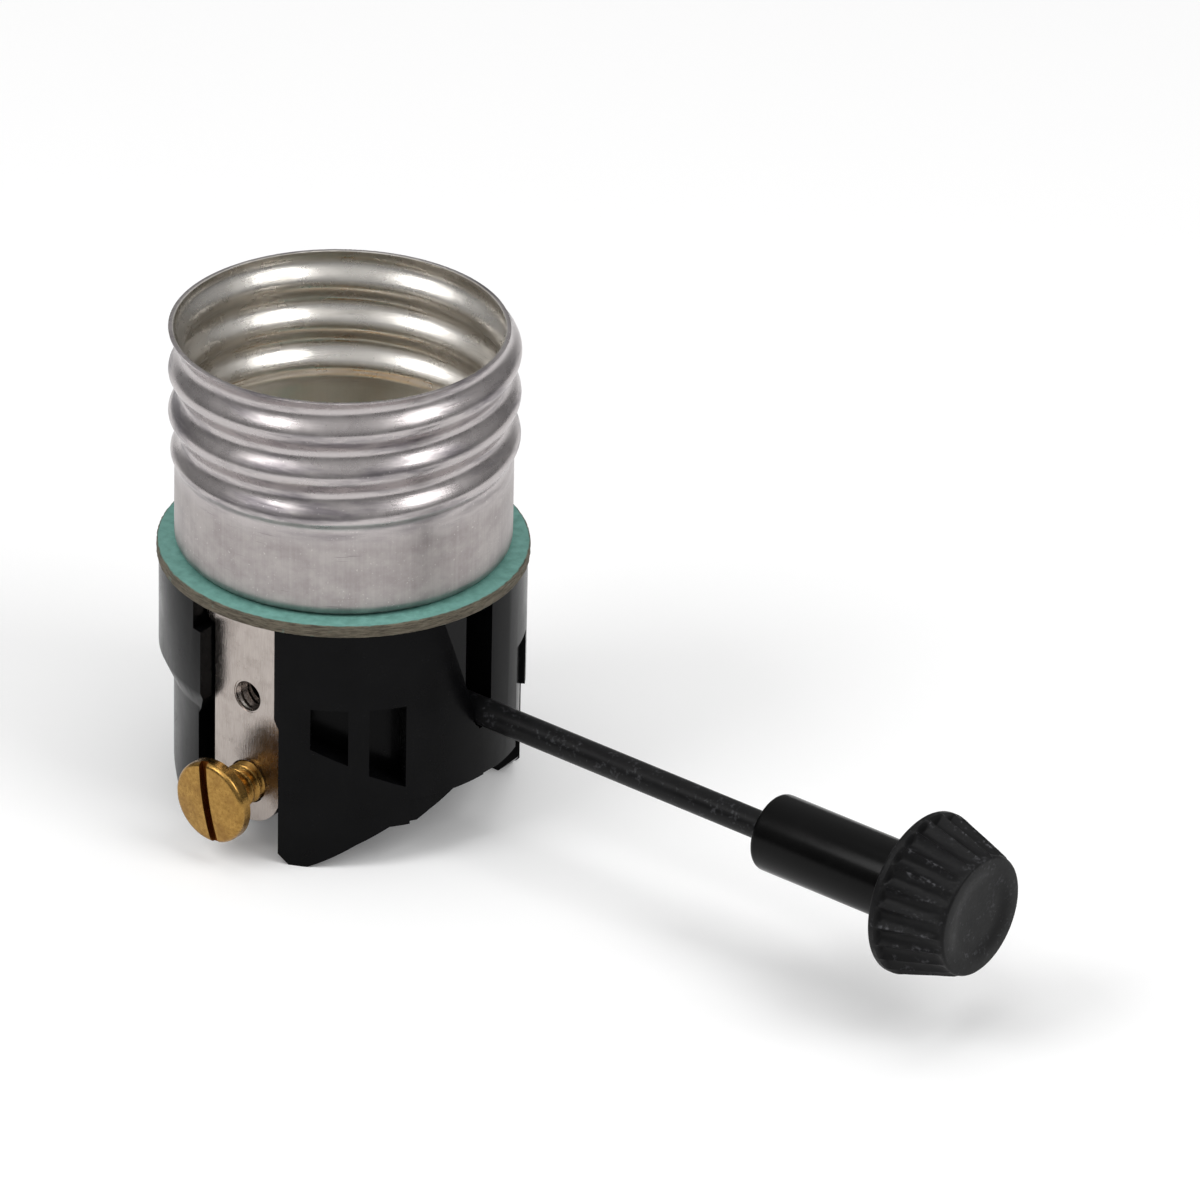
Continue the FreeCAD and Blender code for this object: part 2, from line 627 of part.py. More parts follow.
def cut_terminal_channels(body):
    """A channel for each strap, wider beside the screw, with reliefs behind the strap."""
    bottom = "-leg_depth - 1"
    reach = "housing_radius + 1"
    for name, sign in (("line", "1"), ("shell", "-1")):
        outwards = sign == "1"

        def cut(what, draw, floor):
            sketch = new_sketch(body, f"{name}_{what}_outline", "XZ_Plane", f"{sign} * {floor}")
            draw(sketch)
            pocket(body, f"{name}_{what}", sketch, reach, along=outwards)

        cut("channel", lambda s: outline(s, [
            ("channel_left", "0"),
            ("channel_left", bottom),
            ("channel_right + 3 * leg_corner", bottom),
            ("channel_right + 1.3 * leg_corner", "-leg_depth"),
            ("channel_right + 0.3 * leg_corner", "-leg_depth + leg_corner"),
            ("channel_right", "-flare_depth"),
            ("channel_right", "0"),
        ]), "strap_back")
        cut("flare", lambda s: outline(s, [
            ("channel_left", "-flare_depth"),
            ("channel_left - flare_width", "-flare_depth - 1.6 * flare_width"),
            ("channel_left - flare_width", bottom),
            ("channel_right", bottom),
            ("channel_right", "-flare_depth"),
        ]), "flare_floor")
        cut("screw_relief", lambda s: box_outline(
            s, "terminal_offset - screw_radius - rivet_clearance * 4", bottom,
            "terminal_offset + screw_radius + rivet_clearance * 4", "-screw_depth + screw_radius"),
            "screw_relief")
        cut("spare_relief", lambda s: circle(
            s, "terminal_offset", "-spare_hole_depth", "spare_hole_radius + rivet_clearance * 4"),
            "(strap_back - spare_hole_radius)")

    seats = new_sketch(body, "tab_seats_outline", "XY_Plane", "-disc_thickness")
    reliefs = new_sketch(body, "flange_reliefs_outline", "XY_Plane", "-disc_thickness")
    for side in ("", "-"):
        box_outline(seats, "channel_left", f"{side}cavity_half_width * 0.99", "channel_right",
                    f"{side}strap_face")
        box_outline(reliefs, "terminal_offset - rivet_head_radius - relief_clearance",
                    f"{side}cavity_half_width * 0.98",
                    "terminal_offset + rivet_head_radius + relief_clearance",
                    f"{side}(spring_reach + relief_clearance)")
    pocket(body, "tab_seats", seats, "strap_thickness")
    pocket(body, "flange_reliefs", reliefs,
           "strap_thickness + spring_thickness + rivet_head_height + relief_clearance")
    ears = new_sketch(body, "ear_seat_outline", "XY_Plane", "-disc_thickness")
    box_outline(ears, "channel_left - ear_width", "-housing_radius - 1", "channel_left",
                "-strap_back")
    box_outline(ears, "channel_right", "strap_back", "channel_right + ear_width",
                "housing_radius + 1")
    pocket(body, "ear_seats", ears, "ear_depth - disc_thickness + strap_side_gap")


def cut_rivet_holes(body):
    """Holes and counterbores for the two long rivets."""
    holes = new_sketch(body, "rivet_holes_outline", "XY_Plane")
    bores = new_sketch(body, "counterbores_outline", "XY_Plane", "-front_wall_depth")
    for side in ("", "-"):
        circle(holes, "-body_rivet_back", f"{side}body_rivet_across",
               "body_rivet_radius + rivet_clearance")
        circle(bores, "-body_rivet_back", f"{side}body_rivet_across",
               "body_rivet_head_radius + relief_clearance")
    pocket(body, "rivet_holes", holes)
    pocket(body, "counterbores", bores, "leg_depth")


# ---------------------------------------------------------------- terminals

def make_strap(name):
    """Plated strap: a tab under the disc, a bend, and a leg with a round end and two tapped
    holes. Drawn for the line side, which faces -Y."""
    body = new_body(name)
    left = "terminal_offset - strap_width / 2"
    right = "terminal_offset + strap_width / 2"

    leg = new_sketch(body, f"{name}_leg_outline", "XZ_Plane", "strap_back")
    box_outline(leg, left, "-screw_depth", right, "-disc_thickness")
    pad(body, f"{name}_leg", leg, "strap_thickness")
    tab = new_sketch(body, f"{name}_tab_outline", "XY_Plane", "-disc_thickness")
    box_outline(tab, left, "-strap_face", right, "-tab_reach")
    pad(body, f"{name}_tab", tab, "strap_thickness", backwards=True)
    bend_at = value("strap_face")
    round_edges(body, f"{name}_bend", "strap_bend_radius", lambda e: (
        abs(e.BoundBox.YMin + bend_at) < 1e-6 and abs(e.BoundBox.YMax + bend_at) < 1e-6
        and abs(e.BoundBox.ZMin + value("disc_thickness")) < 1e-6 and e.BoundBox.ZLength < 1e-6))
    end = new_sketch(body, f"{name}_end_outline", "XZ_Plane", "strap_back")
    circle(end, "terminal_offset", "-screw_depth", "strap_width / 2")
    pad(body, f"{name}_end", end, "strap_thickness")
    ear = new_sketch(body, f"{name}_ear_outline", "XZ_Plane", "strap_back")
    ear_top = "-disc_thickness - strap_bend_radius * 0.5"
    outline(ear, [
        (f"{left} + 1", ear_top),
        (f"{left} - ear_width", ear_top),
        (f"{left} - ear_width", "-ear_depth + 0.7"),
        (f"{left} - ear_width * 0.6", "-ear_depth + 0.15"),
        (f"{left}", "-ear_depth"),
        (f"{left} + 1", "-ear_depth"),
    ])
    pad(body, f"{name}_ear", ear, "strap_thickness * 0.9")

    holes = new_sketch(body, f"{name}_holes_outline", "XZ_Plane", "strap_face")
    circle(holes, "terminal_offset", "-screw_depth", "screw_radius + thread_clearance")
    circle(holes, "terminal_offset", "-spare_hole_depth", "spare_hole_radius")
    pocket(body, f"{name}_holes", holes, "2 * strap_thickness")
    rivet_hole = new_sketch(body, f"{name}_rivet_outline", "XY_Plane", "-disc_thickness")
    circle(rivet_hole, "terminal_offset", "-terminal_rivet_distance",
           "rivet_radius + rivet_clearance")
    pocket(body, f"{name}_rivet_hole", rivet_hole, "2 * strap_thickness")
    return body


def make_terminal_screw(name):
    """Slotted binding-head screw along local +X, head at the far end."""
    body = turned(name, [
        ("-screw_length", "0"),
        ("-screw_length", "screw_radius - 0.4"),
        ("-screw_length + 0.4", "screw_radius"),
        ("0", "screw_radius"),
        ("0", "screw_head_radius - screw_head_edge"),
        ("screw_head_edge", "screw_head_radius"),
        ("screw_head_height - 1.6 * screw_head_edge", "screw_head_radius"),
        ("screw_head_height - 0.4 * screw_head_edge", "screw_head_radius - screw_head_edge"),
        ("screw_head_height", "screw_head_radius * 0.6"),
        ("screw_head_height", "0"),
    ])
    slot = new_sketch(body, f"{name}_slot_outline", "YZ_Plane", "screw_head_height")
    box_outline(slot, "-screw_head_radius - 1", "-screw_slot_width / 2",
                "screw_head_radius + 1", "screw_slot_width / 2")
    pocket(body, f"{name}_slot", slot, "screw_slot_depth")
    return body


def make_terminals():
    """Both straps and both screws; the shell side is the line side turned half round."""
    half_turn = Vector(0, 0, 1)
    line_strap = make_strap("line_terminal_strap")
    shell_strap = make_strap("shell_terminal_strap")
    place(line_strap)
    place(shell_strap, x="2 * terminal_offset", axis=half_turn, angle=180)
    screws = []
    for name, side, facing in (("line_terminal_screw", "-", -90), ("shell_terminal_screw", "", 90)):
        screw = make_terminal_screw(name)
        lean = Rotation(Vector(1, 0, 0), 90 + value("screw_slot_angle"))
        at = Vector(value("terminal_offset"), value(f"{side}head_face"), value("-screw_depth"))
        screw.Placement = Placement(at, Rotation(Vector(0, 0, 1), facing).multiply(lean))
        bind(screw, Placement__Base__x="terminal_offset", Placement__Base__y=f"{side}head_face",
             Placement__Base__z="-screw_depth")
        screws.append(screw)
    return [line_strap, shell_strap] + screws


# ---------------------------------------------------------------- rivets

def upright_rivet(name, x, y, low, high, shank, head):
    """Rivet along Z with a head at each end."""
    body = turned(name, rivet_corners(low, high, shank, head, "rivet_head_height"))
    place(body, x=x, y=y, axis=Vector(0, 1, 0), angle=-90)
    return body


def make_rivets():
    """Rivets through the disc, the straps and the housing."""
    pieces = [
        upright_rivet("centre_contact_rivet", "-tongue_rivet", "0",
                      "-disc_thickness - spring_thickness", "tongue_thickness",
                      "rivet_radius", "rivet_head_radius"),
        upright_rivet("shell_terminal_rivet", "terminal_offset", "terminal_rivet_distance",
                      "-seat_depth", "shell_wall", "rivet_radius", "rivet_head_radius"),
    ]
    flush = turned("line_contact_rivet", [
        ("-seat_depth - spring_thickness - rivet_head_height", "0"),
        ("-seat_depth - spring_thickness - rivet_head_height", "rivet_head_radius * 0.7"),
        ("-seat_depth - spring_thickness - rivet_head_height * 0.4", "rivet_head_radius"),
        ("-seat_depth - spring_thickness", "rivet_head_radius"),
        ("-seat_depth - spring_thickness", "rivet_radius"),
        ("-disc_thickness", "rivet_radius"),
        ("-disc_thickness", "0"),
    ])
    place(flush, x="terminal_offset", y="-terminal_rivet_distance", axis=Vector(0, 1, 0), angle=-90)
    pieces.append(flush)

    pair = []
    for which, side in (("near", "-"), ("far", "")):
        pair.append(upright_rivet(f"body_rivet_{which}", "-body_rivet_back",
                                  f"{side}body_rivet_across", "-front_wall_depth", "shell_wall",
                                  "body_rivet_radius", "body_rivet_head_radius"))
    both = doc.addObject("Part::Compound", "body_rivets")
    both.Label = "body_rivets"
    both.Links = pair
    pieces.append(both)
    return pieces


# ---------------------------------------------------------------- switch

def make_switch_frame():
    """Steel U-frame on the housing's floor; its ears carry the shaft."""
    body = new_body("switch_frame")
    base = new_sketch(body, "frame_base_outline", "XY_Plane", "-cavity_floor")
    box_outline(base, "-frame_rear", "-frame_half_width", "frame_front", "frame_half_width")
    pad(body, "frame_base_plate", base, "frame_base")
    ears = [("rear_ear", "-frame_rear", "pivot_radius"),
            ("front_ear", "frame_front - frame_ear", "shaft_radius")]
    for name, start, hole in ears:
        ear = new_sketch(body, f"{name}_outline", "YZ_Plane", start)
        outline(ear, [
            ("-frame_half_width", "-cavity_floor"),
            ("frame_half_width", "-cavity_floor"),
            ("frame_half_width", "-shaft_depth"),
            ("frame_half_width * 0.5", "-frame_top_depth"),
            ("-frame_half_width * 0.5", "-frame_top_depth"),
            ("-frame_half_width", "-shaft_depth"),
        ])
        pad(body, name, ear, "frame_ear")
        bearing = new_sketch(body, f"{name}_bearing_outline", "YZ_Plane", start)
        circle(bearing, "0", "-shaft_depth", f"{hole} + running_clearance")
        pocket(body, f"{name}_bearing", bearing, "frame_ear", along=True)
    rivet_hole = new_sketch(body, "frame_rivet_outline", "XY_Plane", "-cavity_floor + frame_base")
    circle(rivet_hole, "(cam_start + cam_end) / 2", "(contact_face + detent_foot) / 2 + 0.2",
           "detent_shank + rivet_clearance")
    pocket(body, "frame_rivet_hole", rivet_hole, "2 * frame_base")
    return body


def make_detent():
    """Leaf spring beside the cam and the rivet that holds its foot on the frame."""
    leaf = new_body("detent_spring")
    section = new_sketch(leaf, "detent_section", "YZ_Plane", "cam_start + 0.2")
    outline(section, [
        ("contact_face", "-cavity_floor + frame_base"),
        ("detent_foot", "-cavity_floor + frame_base"),
        ("detent_foot", "-cavity_floor + frame_base + detent_thickness"),
        ("contact_face + detent_thickness", "-cavity_floor + frame_base + detent_thickness"),
        ("contact_face + detent_thickness", "-detent_top_depth"),
        ("contact_face", "-detent_top_depth"),
    ])
    pad(leaf, "detent_leaf", section, "cam_end - cam_start - 0.4")
    hole = new_sketch(leaf, "detent_hole_outline", "XY_Plane",
                      "-cavity_floor + frame_base + detent_thickness")
    circle(hole, "(cam_start + cam_end) / 2", "(contact_face + detent_foot) / 2 + 0.2",
           "detent_shank + rivet_clearance")
    pocket(leaf, "detent_hole", hole, "2 * detent_thickness")

    rivet = turned("detent_rivet", [
        ("-cavity_floor", "0"),
        ("-cavity_floor", "detent_shank"),
        ("-cavity_floor + frame_base + detent_thickness", "detent_shank"),
        ("-cavity_floor + frame_base + detent_thickness", "detent_head"),
        ("-cavity_floor + frame_base + detent_thickness * 2", "detent_head"),
        ("-cavity_floor + frame_base + detent_thickness * 2", "0"),
    ])
    place(rivet, x="(cam_start + cam_end) / 2", y="(contact_face + detent_foot) / 2 + 0.2",
          axis=Vector(0, 1, 0), angle=-90)
    return [leaf, rivet]


def make_contact_springs():
    """Fixed contacts each side of the rotor."""
    line = new_body("line_contact_spring")
    section = new_sketch(line, "line_spring_section", "YZ_Plane",
                         "terminal_offset - spring_half_width")
    outline(section, [
        ("-spring_reach", "-seat_depth"),
        ("-spring_reach", "-seat_depth - spring_thickness"),
        ("-contact_face - spring_thickness", "-seat_depth - spring_thickness"),
        ("-contact_face - spring_thickness", "-spring_foot_depth"),
        ("-contact_face", "-spring_foot_depth"),
        ("-contact_face", "-seat_depth"),
    ])
    pad(line, "line_spring_strip", section, "2 * spring_half_width")
    hole = new_sketch(line, "line_spring_hole_outline", "XY_Plane", "-seat_depth")
    circle(hole, "terminal_offset", "-terminal_rivet_distance", "rivet_radius")
    pocket(line, "line_spring_hole", hole, "2 * spring_thickness")

    lamp = new_body("lamp_contact_spring")
    blade = new_sketch(lamp, "lamp_spring_section", "YZ_Plane",
                       "terminal_offset - spring_half_width")
    outline(blade, [
        ("0", "-disc_thickness"),
        ("0", "-disc_thickness - spring_thickness"),
        ("contact_face", "-disc_thickness - spring_thickness"),
        ("contact_face", "-spring_foot_depth"),
        ("contact_face + spring_thickness", "-spring_foot_depth"),
        ("contact_face + spring_thickness", "-disc_thickness"),
    ])
    pad(lamp, "lamp_spring_blade", blade, "2 * spring_half_width")
    arm = new_sketch(lamp, "lamp_spring_arm_outline", "XY_Plane", "-disc_thickness")
    box_outline(arm, "-tongue_rivet - rivet_head_radius", "-spring_half_width * 1.5",
                "terminal_offset + spring_half_width", "spring_half_width * 1.5")
    pad(lamp, "lamp_spring_arm", arm, "spring_thickness", backwards=True)
    arm_hole = new_sketch(lamp, "lamp_spring_hole_outline", "XY_Plane", "-disc_thickness")
    circle(arm_hole, "-tongue_rivet", "0", "rivet_radius + rivet_clearance")
    pocket(lamp, "lamp_spring_hole", arm_hole, "2 * spring_thickness")
    return [line, lamp]


def make_rotor():
    """Four-lobed cam and contact carrier on the shaft, and the contact band round it."""
    bore = "shaft_radius + press_clearance"
    rotor = turned("switch_rotor", [
        ("cam_end - 0.2", bore),
        ("cam_end - 0.2", "neck_radius"),
        ("carrier_start", "neck_radius"),
        ("carrier_start", "rotor_radius"),
        ("carrier_end", "rotor_radius"),
        ("carrier_end", bore),
    ])
    cam = new_sketch(rotor, "cam_outline", "YZ_Plane", "cam_start")
    corner = "sqrt(lobe_radius ^ 2 - cam_flat ^ 2)"
    corners = [("cam_flat", corner), (corner, "cam_flat")]
    corners += [(f"-{x}", y) for x, y in reversed(corners)]
    corners += [(f"-({x})", f"-({y})") for x, y in corners]
    outline(cam, corners)
    pad(rotor, "cam", cam, "cam_end - cam_start")
    hole = new_sketch(rotor, "cam_bore_outline", "YZ_Plane", "cam_start")
    circle(hole, "0", "0", bore)
    pocket(rotor, "cam_bore", hole, "carrier_end - cam_start", along=True)
    place(rotor, z="-shaft_depth")

    band = turned("rotor_contact", [
        ("carrier_start - band_thickness", "neck_radius + press_clearance"),
        ("carrier_start - band_thickness", "rotor_radius + band_thickness"),
        ("carrier_end - 1", "rotor_radius + band_thickness"),
        ("carrier_end - 1", "rotor_radius + press_clearance"),
        ("carrier_start", "rotor_radius + press_clearance"),
        ("carrier_start", "neck_radius + press_clearance"),
    ])
    gaps = new_sketch(band, "band_gaps_outline", "YZ_Plane", "carrier_start")
    for side in ("", "-"):
        box_outline(gaps, "-lobe_radius - 1", f"{side}band_half_width", "lobe_radius + 1",
                    f"{side}(lobe_radius + 1)")
    pocket(band, "band_gaps", gaps, "carrier_end - carrier_start", along=True)
    place(band, z="-shaft_depth")
    return [rotor, band]


def make_shaft():
    """Long shaft: a pivot at the rear ear, a groove for the ring, and a plain run to the knob."""
    shaft = turned("switch_shaft", [
        ("-frame_rear - 0.3", "0"),
        ("-frame_rear - 0.3", "pivot_radius"),
        ("-frame_rear + frame_ear + 0.1", "pivot_radius"),
        ("-frame_rear + frame_ear + 0.1", "shaft_radius"),
        ("clip_start", "shaft_radius"),
        ("clip_start", "shaft_radius - clip_groove"),
        ("clip_start + clip_thickness", "shaft_radius - clip_groove"),
        ("clip_start + clip_thickness", "shaft_radius"),
        ("shaft_end", "shaft_radius"),
        ("shaft_end", "0"),
    ])
    place(shaft, z="-shaft_depth")
    clip = turned("shaft_clip", [
        ("clip_start", "shaft_radius - clip_groove"),
        ("clip_start", "clip_radius"),
        ("clip_start + clip_thickness", "clip_radius"),
        ("clip_start + clip_thickness", "shaft_radius - clip_groove"),
    ])
    place(clip, z="-shaft_depth")
    return [shaft, clip]


# ---------------------------------------------------------------- knob

def make_sleeve():
    """Extension sleeve between the bare shaft and the knob."""
    bore = "shaft_radius + press_clearance"
    sleeve = turned("extension_sleeve", [
        ("sleeve_start", bore),
        ("sleeve_start", "sleeve_radius"),
        ("knob_start", "sleeve_radius"),
        ("knob_start", bore),
    ])
    start = value("sleeve_start")
    round_edges(sleeve, "sleeve_rounding", "sleeve_edge", lambda e: (
        abs(e.BoundBox.XMax - start) < 1e-6 and e.BoundBox.YLength > 2 * value("shaft_radius") + 1))
    place(sleeve, z="-shaft_depth")
    return sleeve


def make_knob():
    """Conical knob: a plain back flange, 24 flutes that fade towards the front and a shallow
    dish in the face."""
    knob = turned("knob", [
        ("knob_start", "insert_radius"),
        ("knob_start", "knob_back_radius"),
        ("knob_start + knob_flange", "knob_back_radius"),
        ("knob_end - knob_edge", "knob_front_radius"),
        ("knob_end", "knob_front_radius - knob_edge"),
        ("knob_end", "knob_dish_radius"),
        ("knob_end - knob_dish_depth", "knob_dish_radius - knob_dish_depth"),
        ("knob_end - knob_dish_depth", "0"),
        ("knob_start + insert_length", "0"),
        ("knob_start + insert_length", "insert_radius"),
    ])
    sections = []
    stations = [("back", "knob_start + knob_flange", "knob_back_radius", "1"),
                ("front", "knob_end + 0.1", "knob_front_radius", "flute_fade")]
    for name, station, radius, share in stations:
        sketch = new_sketch(knob, f"flute_{name}", "YZ_Plane", station)
        outline(sketch, [
            (f"-flute_half_width * {share} * 1.2", f"{radius} + 0.5"),
            (f"-flute_half_width * {share} * 0.45", f"{radius} - flute_depth * {share}"),
            (f"flute_half_width * {share} * 0.45", f"{radius} - flute_depth * {share}"),
            (f"flute_half_width * {share} * 1.2", f"{radius} + 0.5"),
        ])
        sketch.Visibility = False
        sections.append(sketch)
    flute = knob.newObject("PartDesign::SubtractiveLoft", "flute")
    flute.Profile = sections[0]
    flute.Sections = [sections[1]]
    flute.Ruled = True
    flutes = knob.newObject("PartDesign::PolarPattern", "flutes")
    flutes.Originals = [flute]
    flutes.Axis = (origin_item(knob, "X_Axis"), [""])
    flutes.Angle = 360
    bind(flutes, Occurrences="flute_count")
    knob.Tip = flutes
    place(knob, z="-shaft_depth")

    insert = turned("knob_insert", [
        ("knob_start", "shaft_radius + press_clearance"),
        ("knob_start", "insert_radius"),
        ("knob_start + insert_length", "insert_radius"),
        ("knob_start + insert_length", "shaft_radius + press_clearance"),
    ])
    place(insert, z="-shaft_depth")
    return [knob, insert]


# ---------------------------------------------------------------- the whole

pieces = [make_screw_shell(), make_insulating_disc(), make_centre_contact(), make_housing()]
pieces += make_terminals()
pieces += make_rivets()
pieces += [make_switch_frame()]
pieces += make_detent()
pieces += make_contact_springs()
pieces += make_rotor()
pieces += make_shaft()
pieces += [make_sleeve()]
pieces += make_knob()

doc.recompute()
for thing in doc.Objects:
    if "Invalid" in thing.State or "Error" in thing.State:
        raise RuntimeError(f"{thing.Label} failed: {thing.State}")
for piece in pieces:
    if piece.Shape.isNull() or not piece.Shape.isValid() or piece.Shape.Volume <= 0:
        raise RuntimeError(f"{piece.Label} has no valid solid")

os.makedirs("parts", exist_ok=True)
for piece in pieces:
    piece.Shape.exportStep(f"parts/{piece.Label}.step")
    print(f"{piece.Label}: {len(piece.Shape.Solids)} solid(s), {piece.Shape.Volume:.1f} mm3")
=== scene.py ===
"""Looks of the lamp holder's inner part: a rolled aluminium screw shell on a fibre disc and a
phenolic housing, two side terminals, and a long switch shaft with a fluted knob."""

import json
import math

import bmesh
import bpy
import numpy as np
from mathutils import Matrix, Vector

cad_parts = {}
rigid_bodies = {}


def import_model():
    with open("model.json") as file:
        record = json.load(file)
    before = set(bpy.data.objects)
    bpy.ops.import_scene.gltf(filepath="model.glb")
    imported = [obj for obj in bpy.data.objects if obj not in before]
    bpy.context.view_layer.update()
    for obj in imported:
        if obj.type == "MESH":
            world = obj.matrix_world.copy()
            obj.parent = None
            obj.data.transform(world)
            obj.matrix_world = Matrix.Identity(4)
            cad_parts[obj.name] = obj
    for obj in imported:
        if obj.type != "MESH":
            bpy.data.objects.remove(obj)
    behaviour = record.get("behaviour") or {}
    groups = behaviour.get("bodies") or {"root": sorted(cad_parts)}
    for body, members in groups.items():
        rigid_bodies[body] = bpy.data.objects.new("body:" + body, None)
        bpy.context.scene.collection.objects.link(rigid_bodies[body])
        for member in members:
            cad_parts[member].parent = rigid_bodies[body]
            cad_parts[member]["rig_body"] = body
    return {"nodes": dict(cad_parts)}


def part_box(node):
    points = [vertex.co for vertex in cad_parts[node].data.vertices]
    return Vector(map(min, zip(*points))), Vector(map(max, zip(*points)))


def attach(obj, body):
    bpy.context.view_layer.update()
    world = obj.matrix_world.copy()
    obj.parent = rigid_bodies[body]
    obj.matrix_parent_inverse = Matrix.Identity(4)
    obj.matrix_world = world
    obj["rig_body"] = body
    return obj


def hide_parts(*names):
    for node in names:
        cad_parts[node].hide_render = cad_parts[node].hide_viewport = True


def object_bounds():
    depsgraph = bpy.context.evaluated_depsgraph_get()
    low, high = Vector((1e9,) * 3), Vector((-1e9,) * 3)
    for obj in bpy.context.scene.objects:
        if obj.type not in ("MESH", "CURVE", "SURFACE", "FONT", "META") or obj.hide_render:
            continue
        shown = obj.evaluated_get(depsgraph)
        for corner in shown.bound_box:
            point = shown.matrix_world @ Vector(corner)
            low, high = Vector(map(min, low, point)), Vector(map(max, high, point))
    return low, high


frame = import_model()
cad_box = [list(corner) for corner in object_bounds()]

MM = 0.001
TURN = 2 * math.pi


# ---------------------------------------------------------------- view

def aim(thing, place, back, roll=0.0):
    """Put a camera or lamp at a place, looking against the unit vector back."""
    right = Vector((0, 0, 1)).cross(back).normalized()
    up = back.cross(right)
    turned_right = right * math.cos(roll) + up * math.sin(roll)
    turned_up = up * math.cos(roll) - right * math.sin(roll)
    thing.matrix_world = Matrix.Translation(place) @ Matrix(
        (turned_right, turned_up, back)).transposed().to_4x4()


def direction(azimuth, elevation):
    """Unit vector out of the object; azimuth 0 is towards -Y and 90 towards +X, in degrees."""
    a, e = math.radians(azimuth), math.radians(elevation)
    return Vector((math.sin(a) * math.cos(e), -math.cos(a) * math.cos(e), math.sin(e)))


def make_camera():
    """Long lens, from the front right and above, with a slight roll."""
    azimuth, elevation, roll = 38.25, 28.48, math.radians(1.295)
    back = direction(azimuth, elevation)
    right = Vector((0, 0, 1)).cross(back).normalized()
    up = back.cross(right)
    camera = bpy.data.objects.new("camera", bpy.data.cameras.new("camera"))
    bpy.context.scene.collection.objects.link(camera)
    camera.data.sensor_width = 36
    camera.data.lens = 306.4
    camera.data.clip_start, camera.data.clip_end = 0.01, 20
    aim(camera, right * 20.19 * MM - up * 4.45 * MM + back * 0.8, back, roll)
    bpy.context.scene.camera = camera


def make_lamp(name, azimuth, elevation, distance, size, watts):
    """Square softbox that faces the object."""
    data = bpy.data.lights.new(name, "AREA")
    data.shape = "SQUARE"
    data.size = size
    data.energy = watts
    lamp = bpy.data.objects.new(name, data)
    bpy.context.scene.collection.objects.link(lamp)
    out = direction(azimuth, elevation)
    aim(lamp, out * distance, out)


# ---------------------------------------------------------------- materials

def linear(code, alpha=1.0):
    """sRGB hex colour as linear red, green, blue and alpha."""
    parts = [int(code[i:i + 2], 16) / 255 for i in (1, 3, 5)]
    return [p / 12.92 if p <= 0.04045 else ((p + 0.055) / 1.055) ** 2.4 for p in parts] + [alpha]


def node(tree, kind, inputs=None, **settings):
    """Add a node: settings are its properties; inputs names sockets, each given a constant or
    another node's output."""
    made = tree.nodes.new("ShaderNode" + kind)
    for name, setting in settings.items():
        setattr(made, name, setting)
    for name, given in (inputs or {}).items():
        if isinstance(given, bpy.types.NodeSocket):
            tree.links.new(given, made.inputs[name])
        else:
            made.inputs[name].default_value = given
    return made


def blank(name):
    """New material with an empty tree, its Object coordinates in millimetres and its shader."""
    material = bpy.data.materials.new(name)
    material.use_nodes = True
    tree = material.node_tree
    tree.nodes.clear()
    place = node(tree, "TexCoord").outputs["Object"]
    in_mm = node(tree, "VectorMath", {0: place, 1: (1000, 1000, 1000)}, operation="MULTIPLY")
    shader = node(tree, "BsdfPrincipled")
    node(tree, "OutputMaterial", {"Surface": shader.outputs[0]})
    return material, tree, in_mm.outputs[0], shader


def noise(tree, place, grain, stretch=(1, 1, 1), detail=3.0, roughness=0.55):
    """Noise whose features are about grain millimetres, drawn out by stretch."""
    scale = [1 / (grain * s) for s in stretch]
    squeezed = node(tree, "VectorMath", {0: place, 1: scale}, operation="MULTIPLY")
    return node(tree, "TexNoise", {"Vector": squeezed.outputs[0], "Scale": 1.0, "Detail": detail,
                                   "Roughness": roughness}).outputs["Fac"]


def span(tree, factor, low, high, start, end):
    """Factor between low and high, spread from start to end and held outside."""
    return node(tree, "MapRange", {"Value": factor, "From Min": low, "From Max": high,
                                   "To Min": start, "To Max": end}).outputs[0]


def mix(tree, factor, first, second):
    """Colour between two colours, each a hex code or a socket."""
    given = [linear(c) if isinstance(c, str) else c for c in (first, second)]
    made = node(tree, "Mix", data_type="RGBA")
    for socket, thing in zip((made.inputs[0], made.inputs[6], made.inputs[7]), [factor] + given):
        if isinstance(thing, bpy.types.NodeSocket):
            tree.links.new(thing, socket)
        else:
            socket.default_value = thing
    return made.outputs[2]


def joined(tree, operation, first, second):
    """Two factors put together by a plain sum, product or such."""
    return node(tree, "Math", {0: first, 1: second}, operation=operation).outputs[0]


def dent(tree, shader, height, depth_mm):
    """Bump whose full height is depth_mm."""
    bump = node(tree, "Bump", {"Height": height, "Distance": depth_mm * MM})
    tree.links.new(bump.outputs[0], shader.inputs["Normal"])


def finish(tree, shader, **sockets):
    """Set the shader's sockets; a colour may be a hex code, and _ stands for a space."""
    for name, given in sockets.items():
        socket = shader.inputs[name.replace("_", " ").title().replace("Ior", "IOR")]
        if isinstance(given, bpy.types.NodeSocket):
            tree.links.new(given, socket)
        else:
            socket.default_value = linear(given) if isinstance(given, str) else given


